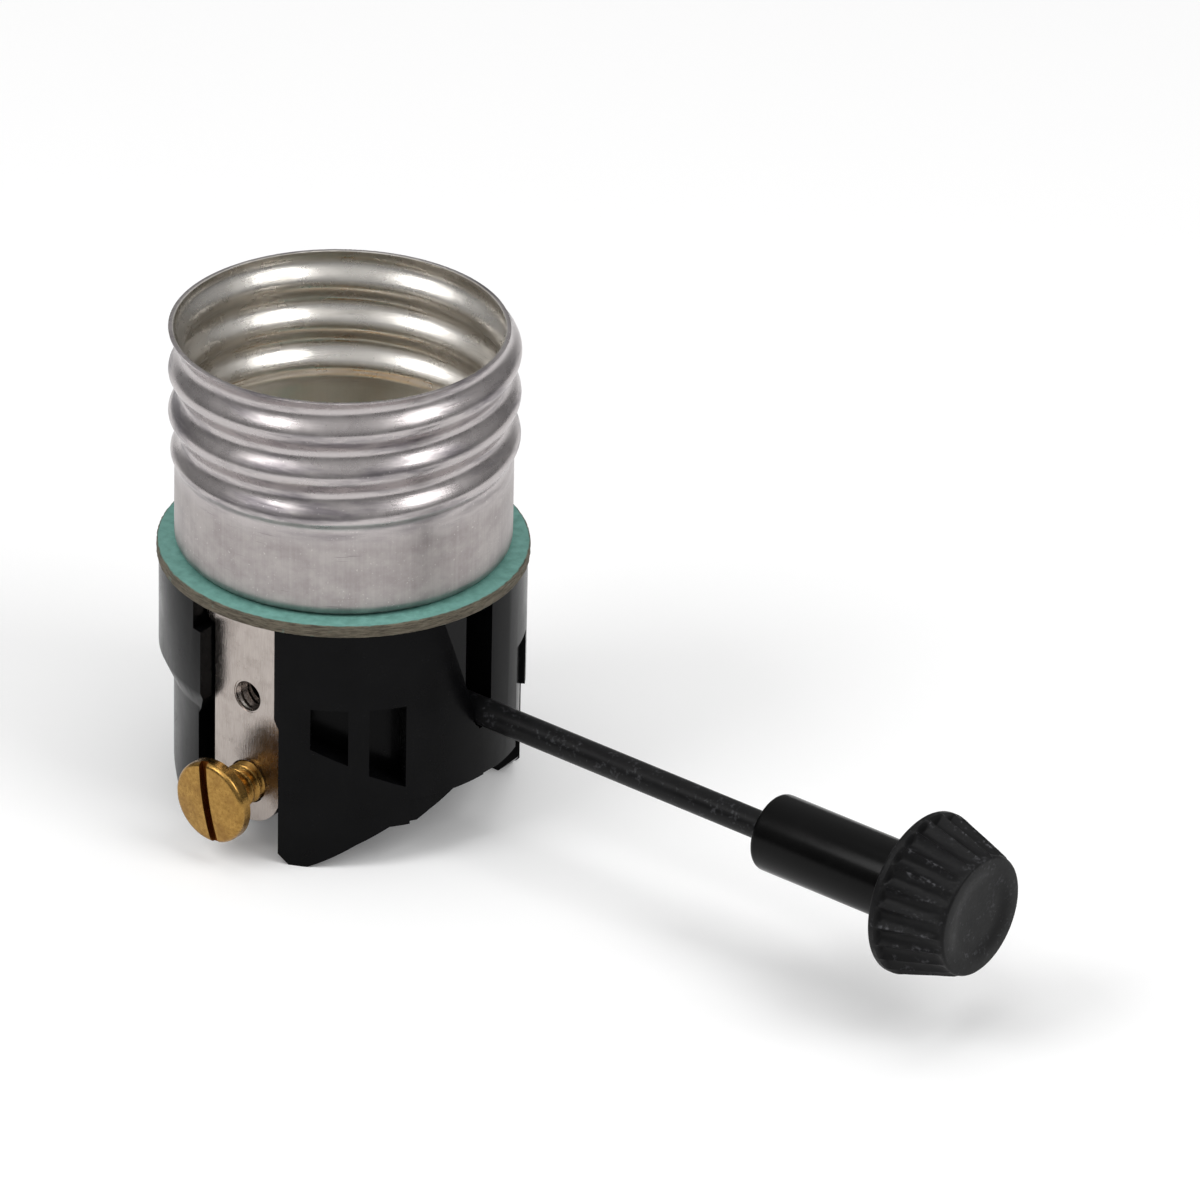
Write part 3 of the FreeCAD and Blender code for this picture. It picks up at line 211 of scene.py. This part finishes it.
def drawn_aluminium(name, shades, burnished, smeared):
    """Aluminium sheet, drawn and then rolled. The plain wall keeps the dull satin of the drawing,
    with faint upright lines, clouds of oxide and small bright nicks; the thread is burnished by
    the rolls, with fine lines and dark scratches round it."""
    material, tree, at, shader = blank(name)
    height = node(tree, "SeparateXYZ", {0: at}).outputs["Z"]
    rolled = span(tree, height, 5.8, 8.2, 0.0, 1.0)
    rolling = noise(tree, at, 0.13, (50, 50, 1), 4.0, 0.6)
    drawing = noise(tree, at, 0.25, (1, 1, 30), 3.0, 0.6)
    cloud = noise(tree, at, 2.6, (1, 1, 0.8), 5.0, 0.62)
    smear = noise(tree, at, 1.3, (6, 6, 1), 4.0, 0.6)
    nicks = span(tree, noise(tree, at, 0.2, detail=1.0), 0.7, 0.77, 0.0, 1.0)
    scratches = span(tree, noise(tree, at, 0.1, (30, 30, 1), 1.5), 0.67, 0.73, 0.0, 1.0)
    scratches = joined(tree, "MULTIPLY", scratches, span(tree, smear, 0.45, 0.6, 0.0, 1.0))
    tone = joined(tree, "ADD", joined(tree, "MULTIPLY", cloud, 0.8),
                  joined(tree, "MULTIPLY", drawing, 0.2))
    colour = mix(tree, span(tree, tone, 0.38, 0.62, 0.0, 1.0), *shades)
    colour = mix(tree, joined(tree, "MULTIPLY", rolled, 0.7), colour, burnished)
    dull = joined(tree, "MULTIPLY", span(tree, smear, 0.5, 0.68, 0.0, 0.75), rolled)
    colour = mix(tree, dull, colour, smeared)
    colour = mix(tree, joined(tree, "MULTIPLY", scratches, 0.55), colour, "#6a6468")
    colour = mix(tree, joined(tree, "MULTIPLY", nicks, 0.6), colour, "#dad6d3")
    rough = joined(tree, "SUBTRACT", span(tree, cloud, 0.3, 0.7, 0.36, 0.5),
                   joined(tree, "MULTIPLY", rolled, 0.15))
    rough = joined(tree, "ADD", rough, joined(tree, "MULTIPLY", dull, 0.15))
    finish(tree, shader, base_color=colour, metallic=1.0, roughness=rough)
    lines = joined(tree, "MULTIPLY", rolling, span(tree, rolled, 0.0, 1.0, 0.35, 1.2))
    lines = joined(tree, "ADD", lines, joined(tree, "MULTIPLY", drawing, 0.3))
    lines = joined(tree, "SUBTRACT", lines, joined(tree, "MULTIPLY", scratches, 0.8))
    lines = joined(tree, "ADD", lines, joined(tree, "MULTIPLY", cloud, 2.0))
    dent(tree, shader, lines, 0.006)
    return material


def painted_fibre():
    """Vulcanised fibre sheet, green on its faces; the cut edge shows its brown-grey layers."""
    material, tree, at, shader = blank("painted_fibre")
    flat = node(tree, "VectorMath", {0: at, 1: (1, 1, 0)}, operation="MULTIPLY").outputs[0]
    reach = node(tree, "VectorMath", {0: flat}, operation="LENGTH").outputs["Value"]
    mottle = noise(tree, at, 0.8, detail=5.0)
    layers = noise(tree, at, 0.12, (9, 9, 1), 5.0, 0.7)
    ragged = joined(tree, "ADD", reach, joined(tree, "MULTIPLY", mottle, 0.28))
    at_edge = span(tree, ragged, 14.62, 14.74, 0.0, 1.0)
    face = mix(tree, span(tree, mottle, 0.35, 0.65, 0.0, 1.0), "#64948a", "#76a89f")
    edge = mix(tree, span(tree, layers, 0.35, 0.65, 0.0, 1.0), "#423c33", "#756e5f")
    finish(tree, shader, base_color=mix(tree, at_edge, face, edge),
           roughness=span(tree, at_edge, 0.0, 1.0, 0.5, 0.85), specular_ior_level=0.3)
    dent(tree, shader, joined(tree, "ADD", layers, mottle), 0.05)
    return material


def moulded_black(name, low, high, rough_low, rough_high, sheen_level, wave_mm=0.02,
                  scuff=0.0, worn=None):
    """Black moulded plastic: a faint cloud in its tone and gloss, slight waves in its face, and
    pale rubbed specks, kept to the edges where the mesh's attribute worn is given."""
    material, tree, at, shader = blank(name)
    cloud = noise(tree, at, 3.0, detail=4.0)
    fine = noise(tree, at, 0.3, detail=4.0)
    colour = mix(tree, span(tree, cloud, 0.3, 0.7, 0.0, 1.0), low, high)
    rough = span(tree, joined(tree, "ADD", cloud, joined(tree, "MULTIPLY", fine, 0.5)),
                 0.5, 1.0, rough_low, rough_high)
    if scuff:
        rubbed = joined(tree, "ADD", joined(tree, "MULTIPLY", fine, 0.55),
                        joined(tree, "MULTIPLY", noise(tree, at, 1.2, detail=2.0), 0.45))
        rubbed = span(tree, rubbed, 0.55, 0.68, 0.0, scuff)
        if worn:
            share = node(tree, "Attribute", attribute_name=worn).outputs["Fac"]
            rubbed = joined(tree, "MULTIPLY", rubbed, share)
        colour = mix(tree, rubbed, colour, "#6f6f73")
    finish(tree, shader, base_color=colour, roughness=rough, specular_ior_level=sheen_level)
    dent(tree, shader, joined(tree, "ADD", cloud, joined(tree, "MULTIPLY", fine, 0.12)), wave_mm)
    return material


def worked_metal(name, low, high, rough_low, rough_high, grain=(1, 1, 1), grain_mm=0.12,
                 tarnish=None, tarnish_share=0.5):
    """Metal with fine working lines along grain, cloudy tarnish and a little unevenness."""
    material, tree, at, shader = blank(name)
    cloud = noise(tree, at, 1.6, detail=5.0)
    lines = noise(tree, at, grain_mm, grain, 4.0, 0.6)
    colour = mix(tree, span(tree, lines, 0.3, 0.7, 0.0, 1.0), low, high)
    if tarnish:
        spots = span(tree, cloud, 0.48, 0.7, 0.0, tarnish_share)
        colour = mix(tree, spots, colour, tarnish)
    rough = joined(tree, "ADD", span(tree, cloud, 0.3, 0.7, rough_low, rough_high),
                   span(tree, lines, 0.3, 0.7, 0.0, 0.08))
    finish(tree, shader, base_color=colour, metallic=1.0, roughness=rough)
    dent(tree, shader, joined(tree, "ADD", lines, cloud), 0.01)
    return material


# ---------------------------------------------------------------- meshes

def surface(name, sheets, materials, sharp=32.0):
    """Piece from sheets of points, each an array of rows by columns by xyz in millimetres with
    its material's number. Neighbouring points make quads, and points that meet are merged."""
    corners, quads, numbers, count = [], [], [], 0
    for points, number in sheets:
        rows, columns = points.shape[:2]
        index = np.arange(rows * columns).reshape(rows, columns) + count
        made = np.stack([index[:-1, :-1], index[:-1, 1:], index[1:, 1:], index[1:, :-1]], -1)
        quads.append(made.reshape(-1, 4))
        numbers.append(np.full(len(quads[-1]), number))
        corners.append(points.reshape(-1, 3) * MM)
        count += rows * columns
    mesh = bpy.data.meshes.new(name)
    mesh.from_pydata(np.concatenate(corners).tolist(), [], np.concatenate(quads).tolist())
    mesh.polygons.foreach_set("material_index", np.concatenate(numbers).astype(np.int32))
    return piece(name, mesh, materials, sharp)


def piece(name, mesh, materials, sharp):
    """Object of a mesh whose doubles are merged and whose faces point outwards."""
    shape = bmesh.new()
    shape.from_mesh(mesh)
    bmesh.ops.remove_doubles(shape, verts=shape.verts, dist=1e-7)
    bmesh.ops.dissolve_degenerate(shape, edges=shape.edges, dist=1e-7)
    bmesh.ops.recalc_face_normals(shape, faces=shape.faces)
    shape.to_mesh(mesh)
    shape.free()
    for material in materials:
        mesh.materials.append(material)
    mesh.shade_smooth()
    mesh.set_sharp_from_angle(angle=math.radians(sharp))
    made = bpy.data.objects.new(name, mesh)
    bpy.context.scene.collection.objects.link(made)
    return made


def stands_for(made, node_name):
    """The piece takes a CAD node's place and rides on its body."""
    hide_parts(node_name)
    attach(made, frame["nodes"][node_name]["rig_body"])
    return made


def softened(node_name, name, material, rounding=0.12, segments=2, sharp=32.0):
    """Copy of a CAD node, merged, with its sharp edges rounded as a mould or press leaves them."""
    mesh = frame["nodes"][node_name].data.copy()
    mesh.name = name
    mesh.materials.clear()
    mesh.polygons.foreach_set("material_index", np.zeros(len(mesh.polygons), np.int32))
    if mesh.attributes.get("custom_normal"):
        mesh.attributes.remove(mesh.attributes["custom_normal"])
    shape = bmesh.new()
    shape.from_mesh(mesh)
    bmesh.ops.remove_doubles(shape, verts=shape.verts, dist=1e-6)
    bmesh.ops.dissolve_limit(shape, angle_limit=math.radians(0.5), verts=shape.verts,
                             edges=shape.edges)
    shape.to_mesh(mesh)
    shape.free()
    made = piece(name, mesh, [material], sharp)
    if rounding:
        edge = made.modifiers.new("edge", "BEVEL")
        edge.width = rounding * MM
        edge.segments = segments
        edge.limit_method = "ANGLE"
        edge.angle_limit = math.radians(sharp)
        edge.harden_normals = True
        edge.miter_outer = "MITER_ARC"
    return stands_for(made, node_name)


def lathe(profile, columns):
    """Sheet made by carrying a profile of (distance from axis, height) pairs once round +Z:
    each point is distance times (cos angle, sin angle), at its height."""
    angle = np.linspace(0, TURN, columns + 1)
    profile = np.asarray(profile, float)
    reach, height = profile[:, :1], profile[:, 1:]
    return np.stack([reach * np.cos(angle), reach * np.sin(angle),
                     height + 0 * angle], -1)


def rounded(corners, radius, steps=5):
    """Profile whose inner corners are rounded: at each, a quadratic curve runs from radius
    before the corner to radius after it, or to half the shorter side."""
    corners = [np.array(c, float) for c in corners]
    points = [corners[0]]
    for before, corner, after in zip(corners, corners[1:], corners[2:]):
        sides = [np.linalg.norm(before - corner), np.linalg.norm(after - corner)]
        cut = min(radius, min(sides) / 2)
        first = corner + (before - corner) * cut / sides[0]
        last = corner + (after - corner) * cut / sides[1]
        t = np.linspace(0, 1, steps)[:, None]
        points += list((1 - t) ** 2 * first + 2 * t * (1 - t) * corner + t ** 2 * last)
    return np.array(points + [corners[-1]])


def stood(points, origin, along, across):
    """Sheet drawn round +Z put in place: +Z goes to along and +X to across."""
    along, across = np.array(along, float), np.array(across, float)
    third = np.cross(along, across)
    return (np.array(origin, float) + points[..., :1] * across + points[..., 1:2] * third
            + points[..., 2:] * along)


def ripple(angle, height, waves, seed, highest=40, tall=4.0):
    """Seamless unevenness round the axis: a sum of cosines of whole numbers of turns, whose
    phases and heights are drawn from a seeded generator, about one at its largest."""
    draw = np.random.default_rng(seed)
    total = 0 * (angle + height)
    for _ in range(waves):
        turns, climb, phase = draw.integers(2, highest), draw.normal(0, tall), draw.uniform(0, TURN)
        total = total + np.cos(turns * angle + climb * height + phase)
    return total / math.sqrt(waves) / 1.6


# ---------------------------------------------------------------- lamp end

def make_screw_shell(outside, inside):
    """Shell with a rolled thread. Its distance from the axis at (turn, height) is the plain
    radius plus a growing share of a cosine wave that climbs one pitch a turn; the foot is a
    quarter circle, the inner face follows the outer one a wall's thickness in, and the rim
    dips by a small ripple where it was cut."""
    plain, crest, root, wall, top, foot = 13.27, 13.75, 12.88, 0.4, 18.65, 0.9
    pitch, start, run_in, crest_at, opening = 3.629, 7.0, 1.5, 16.35, 6.3
    angle = np.linspace(0, TURN, 289)

    def side(inset):
        corner = foot - inset
        bend = np.linspace(0, math.pi / 2, 9)[:-1, None]
        climb = np.linspace(foot, top - 0.07, 118)[:, None]
        height = np.concatenate([foot - corner * np.cos(bend), climb]) + 0 * angle
        base = np.concatenate([plain - inset - corner + corner * np.sin(bend),
                               0 * climb + plain - inset])
        grown = np.clip((height - start) / run_in, 0, 1)
        phase = (height - crest_at) / pitch - angle / TURN
        wave = (crest + root) / 2 + (crest - root) / 2 * np.cos(TURN * phase) - plain
        reach = base + wave * grown ** 2 * (3 - 2 * grown)
        reach = reach + 0.012 * ripple(angle, height, 14, 5, 9, 0.5) * np.clip(height - 1, 0, 1)
        return reach, height

    outer, outer_height = side(0.012)
    inner, inner_height = side(wall)
    cut = 0.03 * (np.minimum(ripple(angle, 0 * angle, 24, 11, 150), 1) - 1)
    lip_out, lip_in = outer[-1] - 0.1, inner[-1] + 0.1
    lip_height = top + cut
    reach = np.concatenate([[0 * angle + opening], outer, [lip_out], [lip_in], inner[::-1],
                            [0 * angle + opening], [0 * angle + opening]])
    height = np.concatenate([[0 * angle], outer_height, [lip_height], [lip_height],
                             inner_height[::-1], [0 * angle + wall], [0 * angle]])
    sheet = np.stack([reach * np.cos(angle), reach * np.sin(angle), height], -1)
    split = len(outer) + 3
    # The inner face takes the second material: the lighter copy, painted light.
    sheets = [(sheet[:split], 0), (sheet[split - 1:-1], 1), (sheet[-2:], 0)]
    made = surface("screw_shell_drawn", sheets, [outside, inside], 40)
    return stands_for(made, "screw_shell")


def make_disc(material):
    """Fibre disc: a round profile whose rim is roughened in and out by a fine ripple."""
    radius, thick = 14.68, 1.0
    profile = rounded([(0, 0), (radius, 0), (radius, -thick), (0, -thick)], 0.12, 4)
    down = np.linspace(-0.16, -thick + 0.16, 7)[1:-1]
    profile = np.concatenate([profile[:5], [(radius, z) for z in down], profile[5:]])
    sheet = lathe(profile, 480)
    angle = np.linspace(0, TURN, 481)
    height = sheet[..., 2]
    worn = 0.03 * (ripple(angle, height, 30, 21, 170, 6.0) - 1.2)
    share = np.clip((np.hypot(sheet[..., 0], sheet[..., 1]) - radius + 0.3) / 0.3, 0, 1)
    pull = 1 + worn * share / radius
    sheet = sheet * np.stack([pull, pull, 0 * pull + 1], -1)
    made = surface("fibre_disc", [(sheet, 0)], [material], 50)
    return stands_for(made, "insulating_disc")


# ---------------------------------------------------------------- terminals

def make_terminal_screw(node_name, name, side, material, dark):
    """Slotted screw. Shank: distance from the axis is a rounded triangle wave that climbs one
    pitch a turn. Head: height at (across the slot, along it) is a shallow dome with a rounded
    rim, lowered to the slot's floor between the slot's walls, with a straight side below."""
    radius, deep, pitch, length = 1.75, 0.42, 0.794, 5.0
    head, tall, edge, crown, slot_half, slot_floor = 3.4, 1.35, 0.35, 0.3, 0.375, 0.65
    angle = np.linspace(0, TURN, 65)
    along = np.linspace(-length, 0.3, 170)[:, None]
    phase = (along / pitch - angle / TURN) % 1
    tooth = np.clip(np.abs(2 * phase - 1) * 1.35 - 0.12, 0, 1)
    fade = np.clip((along + length) / 0.5, 0, 1) * np.clip(-along / 0.25, 0, 1)
    reach = radius - deep + deep * tooth * fade - 0.05
    reach = np.concatenate([0 * angle[None], reach, 0 * angle[None]])
    along = np.concatenate([along[:1], along, along[-1:]])
    shank = np.stack([reach * np.cos(angle), reach * np.sin(angle), along + 0 * angle], -1)

    across = np.concatenate([-head * np.cos(np.linspace(0, 1.43, 16)), [-slot_half]])
    floor_across = np.linspace(-slot_half, slot_half, 7)
    run = np.sin(np.linspace(-math.pi / 2, math.pi / 2, 49))

    def face(columns, sunk):
        x = columns[:, None] + 0 * run
        y = run * np.sqrt(np.maximum(head ** 2 - x ** 2, 0))
        r = np.hypot(x, y)
        lip = np.clip((r - head + edge) / edge, 0, 1)
        z = tall - crown * (r / head) ** 2 - edge * (1 - np.sqrt(np.maximum(1 - lip ** 2, 0)))
        if sunk:
            z = np.minimum(z, slot_floor)
        return np.stack([x, y, z], -1)

    left, floor, right = face(across, False), face(floor_across, True), face(-across[::-1], False)
    walls = [np.stack([left[-1], floor[0]]), np.stack([floor[-1], right[0]])]
    rims = []
    for end in (0, -1):
        line = np.concatenate([left[:, end], floor[:, end], right[:, end]])
        below = line * np.array([1, 1, 0])
        rims.append(np.stack([line, line * [1, 1, 0.5], below]))
    under = np.concatenate([left, floor, right]) * np.array([1, 1, 0])
    # The slot's floor and walls take the second material, painted darker as painted shade in the
    # slot.
    sheets = [(left, 0), (right, 0), (floor, 1)] + [(w, 1) for w in walls]
    sheets += [(r, 0) for r in rims] + [(under, 0), (shank, 0)]
    low, high = np.array(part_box(node_name)) / MM
    middle = (low + high) / 2
    lean = math.radians(11)
    slot_line = (-math.sin(lean) * -side, 0, math.cos(lean))
    out = (0, side, 0)
    cross = np.cross(slot_line, out)
    seat = high[1] - tall if side > 0 else low[1] + tall
    placed = [(stood(points, (middle[0], seat, middle[2]), out, cross), number)
              for points, number in sheets]
    made = surface(name, placed, [material, dark], 38)
    return stands_for(made, node_name)


def make_hole_thread(name, side, material):
    """Collar of the tapped spare hole, drawn back from the strap. Its inner distance from the
    axis is a triangle wave that climbs one pitch a turn; its outside is a plain cylinder."""
    outside, minor, deep, pitch = 1.56, 1.2, 0.22, 0.794
    front, back = -0.06, -1.9
    across, strap_face, depth = 1.05, 12.7, -8.5
    angle = np.linspace(0, TURN, 65)
    height = np.linspace(front, back, 60)[:, None]
    phase = (height / pitch - angle / TURN) % 1
    inner = minor + deep * (1 - np.abs(2 * phase - 1)) * np.clip((front - height) / 0.2, 0.6, 1)
    hidden = 0 * angle + 1.41
    outer = 0 * angle + outside
    strap_back = 0 * angle - 0.79
    reach = np.concatenate([[hidden], inner, [outer], [outer], [hidden], [hidden]])
    height = np.concatenate([[0 * angle + front], height + 0 * angle, [0 * angle + back],
                             [strap_back], [strap_back], [0 * angle + front]])
    sheet = np.stack([reach * np.cos(angle), reach * np.sin(angle), height], -1)
    placed = stood(sheet, (across, side * strap_face, depth), (0, side, 0), (0, 0, 1))
    made = surface(name, [(placed, 0)], [material], 30)
    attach(made, "holder")
    return made


# ---------------------------------------------------------------- knob

def make_knob(material):
    """Conical knob about +X. Distance from the axis is a straight cone less scalloped flutes:
    each flute is a parabola between two ridges, deep behind the front edge of the flange and
    fading towards the face. The face has a rounded edge and a shallow dish."""
    start, length, back, front, flange = 57.1, 5.9, 6.5, 4.85, 0.6
    dish_edge, dish_floor, dish_deep, nib_tall = 3.75, 2.75, 0.3, 0.4
    flutes, deep, fade, bore, bore_long = 24, 0.62, 0.35, 2.2, 4.4
    angle = np.linspace(0, TURN, flutes * 16 + 1)
    part = (angle / TURN * flutes) % 1
    scallop = (1 - (2 * part - 1) ** 2)[None]
    run = np.concatenate([np.linspace(flange, flange + 0.35, 6),
                          np.linspace(flange + 0.45, length - 0.45, 26)])[:, None]
    cone = back + (front - back) * (run - flange) / (length - flange)
    growth = np.clip((run - flange) / 0.3, 0, 1)
    growth = growth ** 2 * (3 - 2 * growth)
    share = 1 - (1 - fade) * (run - flange) / (length - flange)
    share = share * np.clip((length - run) / 0.9, 0, 1) ** 0.5
    side = cone - deep * growth * share * scallop
    wear = 0.02 * ripple(angle, run, 20, 31, 60, 3.0) * growth
    side = side + wear - 0.02
    rings = rounded([(bore, 0), (back - 0.02, 0), (back - 0.02, flange)], 0.25, 5)
    edge = rounded([(side[-1].mean(), length - 0.45), (front - 0.06, length), (dish_edge, length),
                    (dish_floor, length - dish_deep), (0, length - dish_deep)], 0.42, 6)[1:]
    dish = [(r, z - (0.05 * (1 - (r / 3.2) ** 2) if r < 3.2 else 0)) for r, z in edge]
    smooth = np.array(dish)
    inner = np.array([(0, bore_long), (bore, bore_long), (bore, 0)])
    reach = np.concatenate([rings[:, :1] + 0 * angle, side, smooth[:, :1] + 0 * angle])
    along = np.concatenate([rings[:, 1:] + 0 * angle, run + 0 * angle, smooth[:, 1:] + 0 * angle])
    nib = nib_tall * np.exp(-((angle - 0.75 * TURN) / 0.022) ** 2) * np.exp(
        -((along - length + 1.6) / 0.3) ** 2)
    reach = reach + nib
    outside = np.stack([reach * np.cos(angle), reach * np.sin(angle), along], -1)
    bored = lathe(inner, len(angle) - 1)
    sheets = [(stood(s, (start, 0, -10.35), (1, 0, 0), (0, 1, 0)), 0) for s in (outside, bored)]
    made = surface("fluted_knob", sheets, [material], 48)
    place = np.zeros(len(made.data.vertices) * 3)
    made.data.vertices.foreach_get("co", place)
    x, y, z = place.reshape(-1, 3).T / MM
    part = (np.arctan2(z + 10.35, y) / TURN * flutes) % 1
    ridge = np.abs(2 * part - 1) ** 3
    on_side = (x > start + flange - 0.1) & (x < start + length - 0.5)
    worn = np.where(on_side, ridge, 0.35)
    made.data.attributes.new("worn", "FLOAT", "POINT").data.foreach_set(
        "value", worn.astype(np.float32))
    return stands_for(made, "knob")


def make_sleeve(material):
    """Extension sleeve: a tube's profile with rounded ends, carried once round +X."""
    start, end, radius, bore = 43.1, 57.1, 3.1, 1.14
    profile = rounded([(bore, 20), (bore, 0), (radius, 0), (radius, end - start),
                       (bore, end - start), (bore, -1)], 0.45, 7)
    profile = profile[(profile[:, 1] >= 0) & (profile[:, 1] <= end - start)]
    sheet = stood(lathe(profile, 96), (start, 0, -10.35), (1, 0, 0), (0, 1, 0))
    made = surface("knob_sleeve", [(sheet, 0)], [material], 40)
    return stands_for(made, "extension_sleeve")


# ---------------------------------------------------------------- build

# Drawn aluminium, grey with handling outside; the inside is a much lighter copy of the same metal,
# painted light that brightens the shaded inside of the shell.
aluminium = drawn_aluminium("drawn_aluminium", ("#9c9594", "#b4aeac"), "#c2bcbc", "#6a656b")
inside_aluminium_painted_light = drawn_aluminium("inside_aluminium_painted_light", ("#d2cdc6", "#dcd8d1"), "#dedad4",
                                   "#b9b4ab")
fibre = painted_fibre()
# Compression-moulded phenolic: deep black and glossy, with slight flow waves.
phenolic = moulded_black("black_phenolic", "#060607", "#0b0b0c", 0.18, 0.28, 0.07)
phenolic_brown = moulded_black("brown_phenolic", "#33201a", "#432b20", 0.3, 0.45, 0.4)
# Nylon rod, rubbed dull by handling.
nylon = moulded_black("black_nylon", "#0b0b0c", "#131314", 0.3, 0.46, 0.15, 0.02, 0.22)
gloss_plastic = moulded_black("gloss_black_plastic", "#020202", "#040404", 0.2, 0.28, 0.12, 0.01)
# Matt moulded knob, rubbed pale along its ridges.
matt_plastic = moulded_black("matt_black_plastic", "#09090a", "#111112", 0.42, 0.58, 0.17, 0.05,
                             0.6, "worn")
# Bright nickel on pressed strip, faint lines along its length.
nickel = worked_metal("nickel_plate", "#a69d97", "#b9b0aa", 0.14, 0.26, (1, 1, 14), 0.1,
                      "#827871", 0.35)
# Turned brass, yellow where rubbed, with brown tarnish in clouds; its slot takes a darker brown
# copy, painted shade in the slot.
brass = worked_metal("turned_brass", "#8f6d38", "#b08a4c", 0.16, 0.3, (1, 1, 1), 0.3,
                     "#74502a", 0.5)
brass_slot_shade = worked_metal("brass_painted_slot_shade", "#5f3613", "#7d4b1c", 0.4, 0.55)
bronze = worked_metal("spring_bronze", "#a5764a", "#b98c5f", 0.24, 0.36, (12, 1, 1))
steel = worked_metal("zinc_plated_steel", "#97979a", "#b2b2b5", 0.22, 0.34, (12, 1, 1))
# The steel screw's slot is painted dark grey: painted shade in the slot.
steel_slot_shade = worked_metal("steel_painted_slot_shade", "#4c4c4e", "#6b6b6e", 0.4, 0.55)

make_screw_shell(aluminium, inside_aluminium_painted_light)
make_disc(fibre)
softened("housing", "housing_moulding", phenolic, 0.16, 3)
softened("line_terminal_strap", "line_strap_plate", nickel, 0.1)
softened("shell_terminal_strap", "shell_strap_plate", nickel, 0.1)
softened("centre_contact", "centre_tongue", bronze, 0.06)
softened("switch_shaft", "switch_rod", nylon, 0.06)
make_terminal_screw("line_terminal_screw", "line_screw_turned", -1, brass, brass_slot_shade)
make_terminal_screw("shell_terminal_screw", "shell_screw_turned", 1, steel, steel_slot_shade)
make_hole_thread("line_spare_thread", -1, nickel)
make_hole_thread("shell_spare_thread", 1, nickel)
make_knob(matt_plastic)
make_sleeve(gloss_plastic)

kept = {
    "centre_contact_rivet": brass, "shell_terminal_rivet": brass, "line_contact_rivet": brass,
    "body_rivets": brass, "detent_rivet": brass, "knob_insert": brass,
    "switch_frame": steel, "detent_spring": steel, "shaft_clip": steel,
    "line_contact_spring": bronze, "lamp_contact_spring": bronze, "rotor_contact": bronze,
    "switch_rotor": phenolic_brown,
}
for node_name, material in kept.items():
    for slot in frame["nodes"][node_name].material_slots:
        slot.link = "OBJECT"
        slot.material = material


# ---------------------------------------------------------------- stage

def make_floor(level):
    """White paper on the floor. It takes the object's shadow; part of its light is its own where
    it is seen directly or in a reflection, so it reads as white paper."""
    mesh = bpy.data.meshes.new("floor")
    reach = 4.0
    mesh.from_pydata([(-reach, -reach, level), (reach, -reach, level), (reach, reach, level),
                      (-reach, reach, level)], [], [(0, 1, 2, 3)])
    floor = bpy.data.objects.new("floor", mesh)
    bpy.context.scene.collection.objects.link(floor)
    material = bpy.data.materials.new("white_paper")
    material.use_nodes = True
    tree = material.node_tree
    tree.nodes.clear()
    path = node(tree, "LightPath")
    seen = joined(tree, "MAXIMUM", path.outputs["Is Camera Ray"], path.outputs["Is Glossy Ray"])
    seen = joined(tree, "MAXIMUM", seen, path.outputs["Is Transmission Ray"])
    paper = node(tree, "BsdfDiffuse", {"Color": linear("#f2f2f2")})
    own = node(tree, "Emission", {"Color": linear("#ffffff"),
                                  "Strength": joined(tree, "MULTIPLY", seen, 0.12)})
    both = node(tree, "AddShader", {0: paper.outputs[0], 1: own.outputs[0]})
    node(tree, "OutputMaterial", {"Surface": both.outputs[0]})
    mesh.materials.append(material)


def make_world():
    """Even pale room, a little darker round the horizon than overhead."""
    world = bpy.data.worlds.new("room")
    bpy.context.scene.world = world
    world.use_nodes = True
    tree = world.node_tree
    tree.nodes.clear()
    view = node(tree, "TexCoord").outputs["Generated"]
    height = node(tree, "SeparateXYZ", {0: view}).outputs["Z"]
    level = span(tree, height, 0.0, 0.8, 0.12, 0.62)
    back = node(tree, "Background", {"Color": linear("#ffffff"), "Strength": level})
    node(tree, "OutputWorld", {"Surface": back.outputs[0]})


make_camera()
make_floor(cad_box[0][2] - 0.00002)
make_world()
make_lamp("left_softbox", -21, 48, 0.6, 0.26, 1.1)
make_lamp("right_softbox", 97, 46, 0.6, 0.26, 1.0)
make_lamp("top_softbox", 30, 84, 0.7, 0.5, 1.0)

scene = bpy.context.scene
scene.view_settings.view_transform = "Standard"
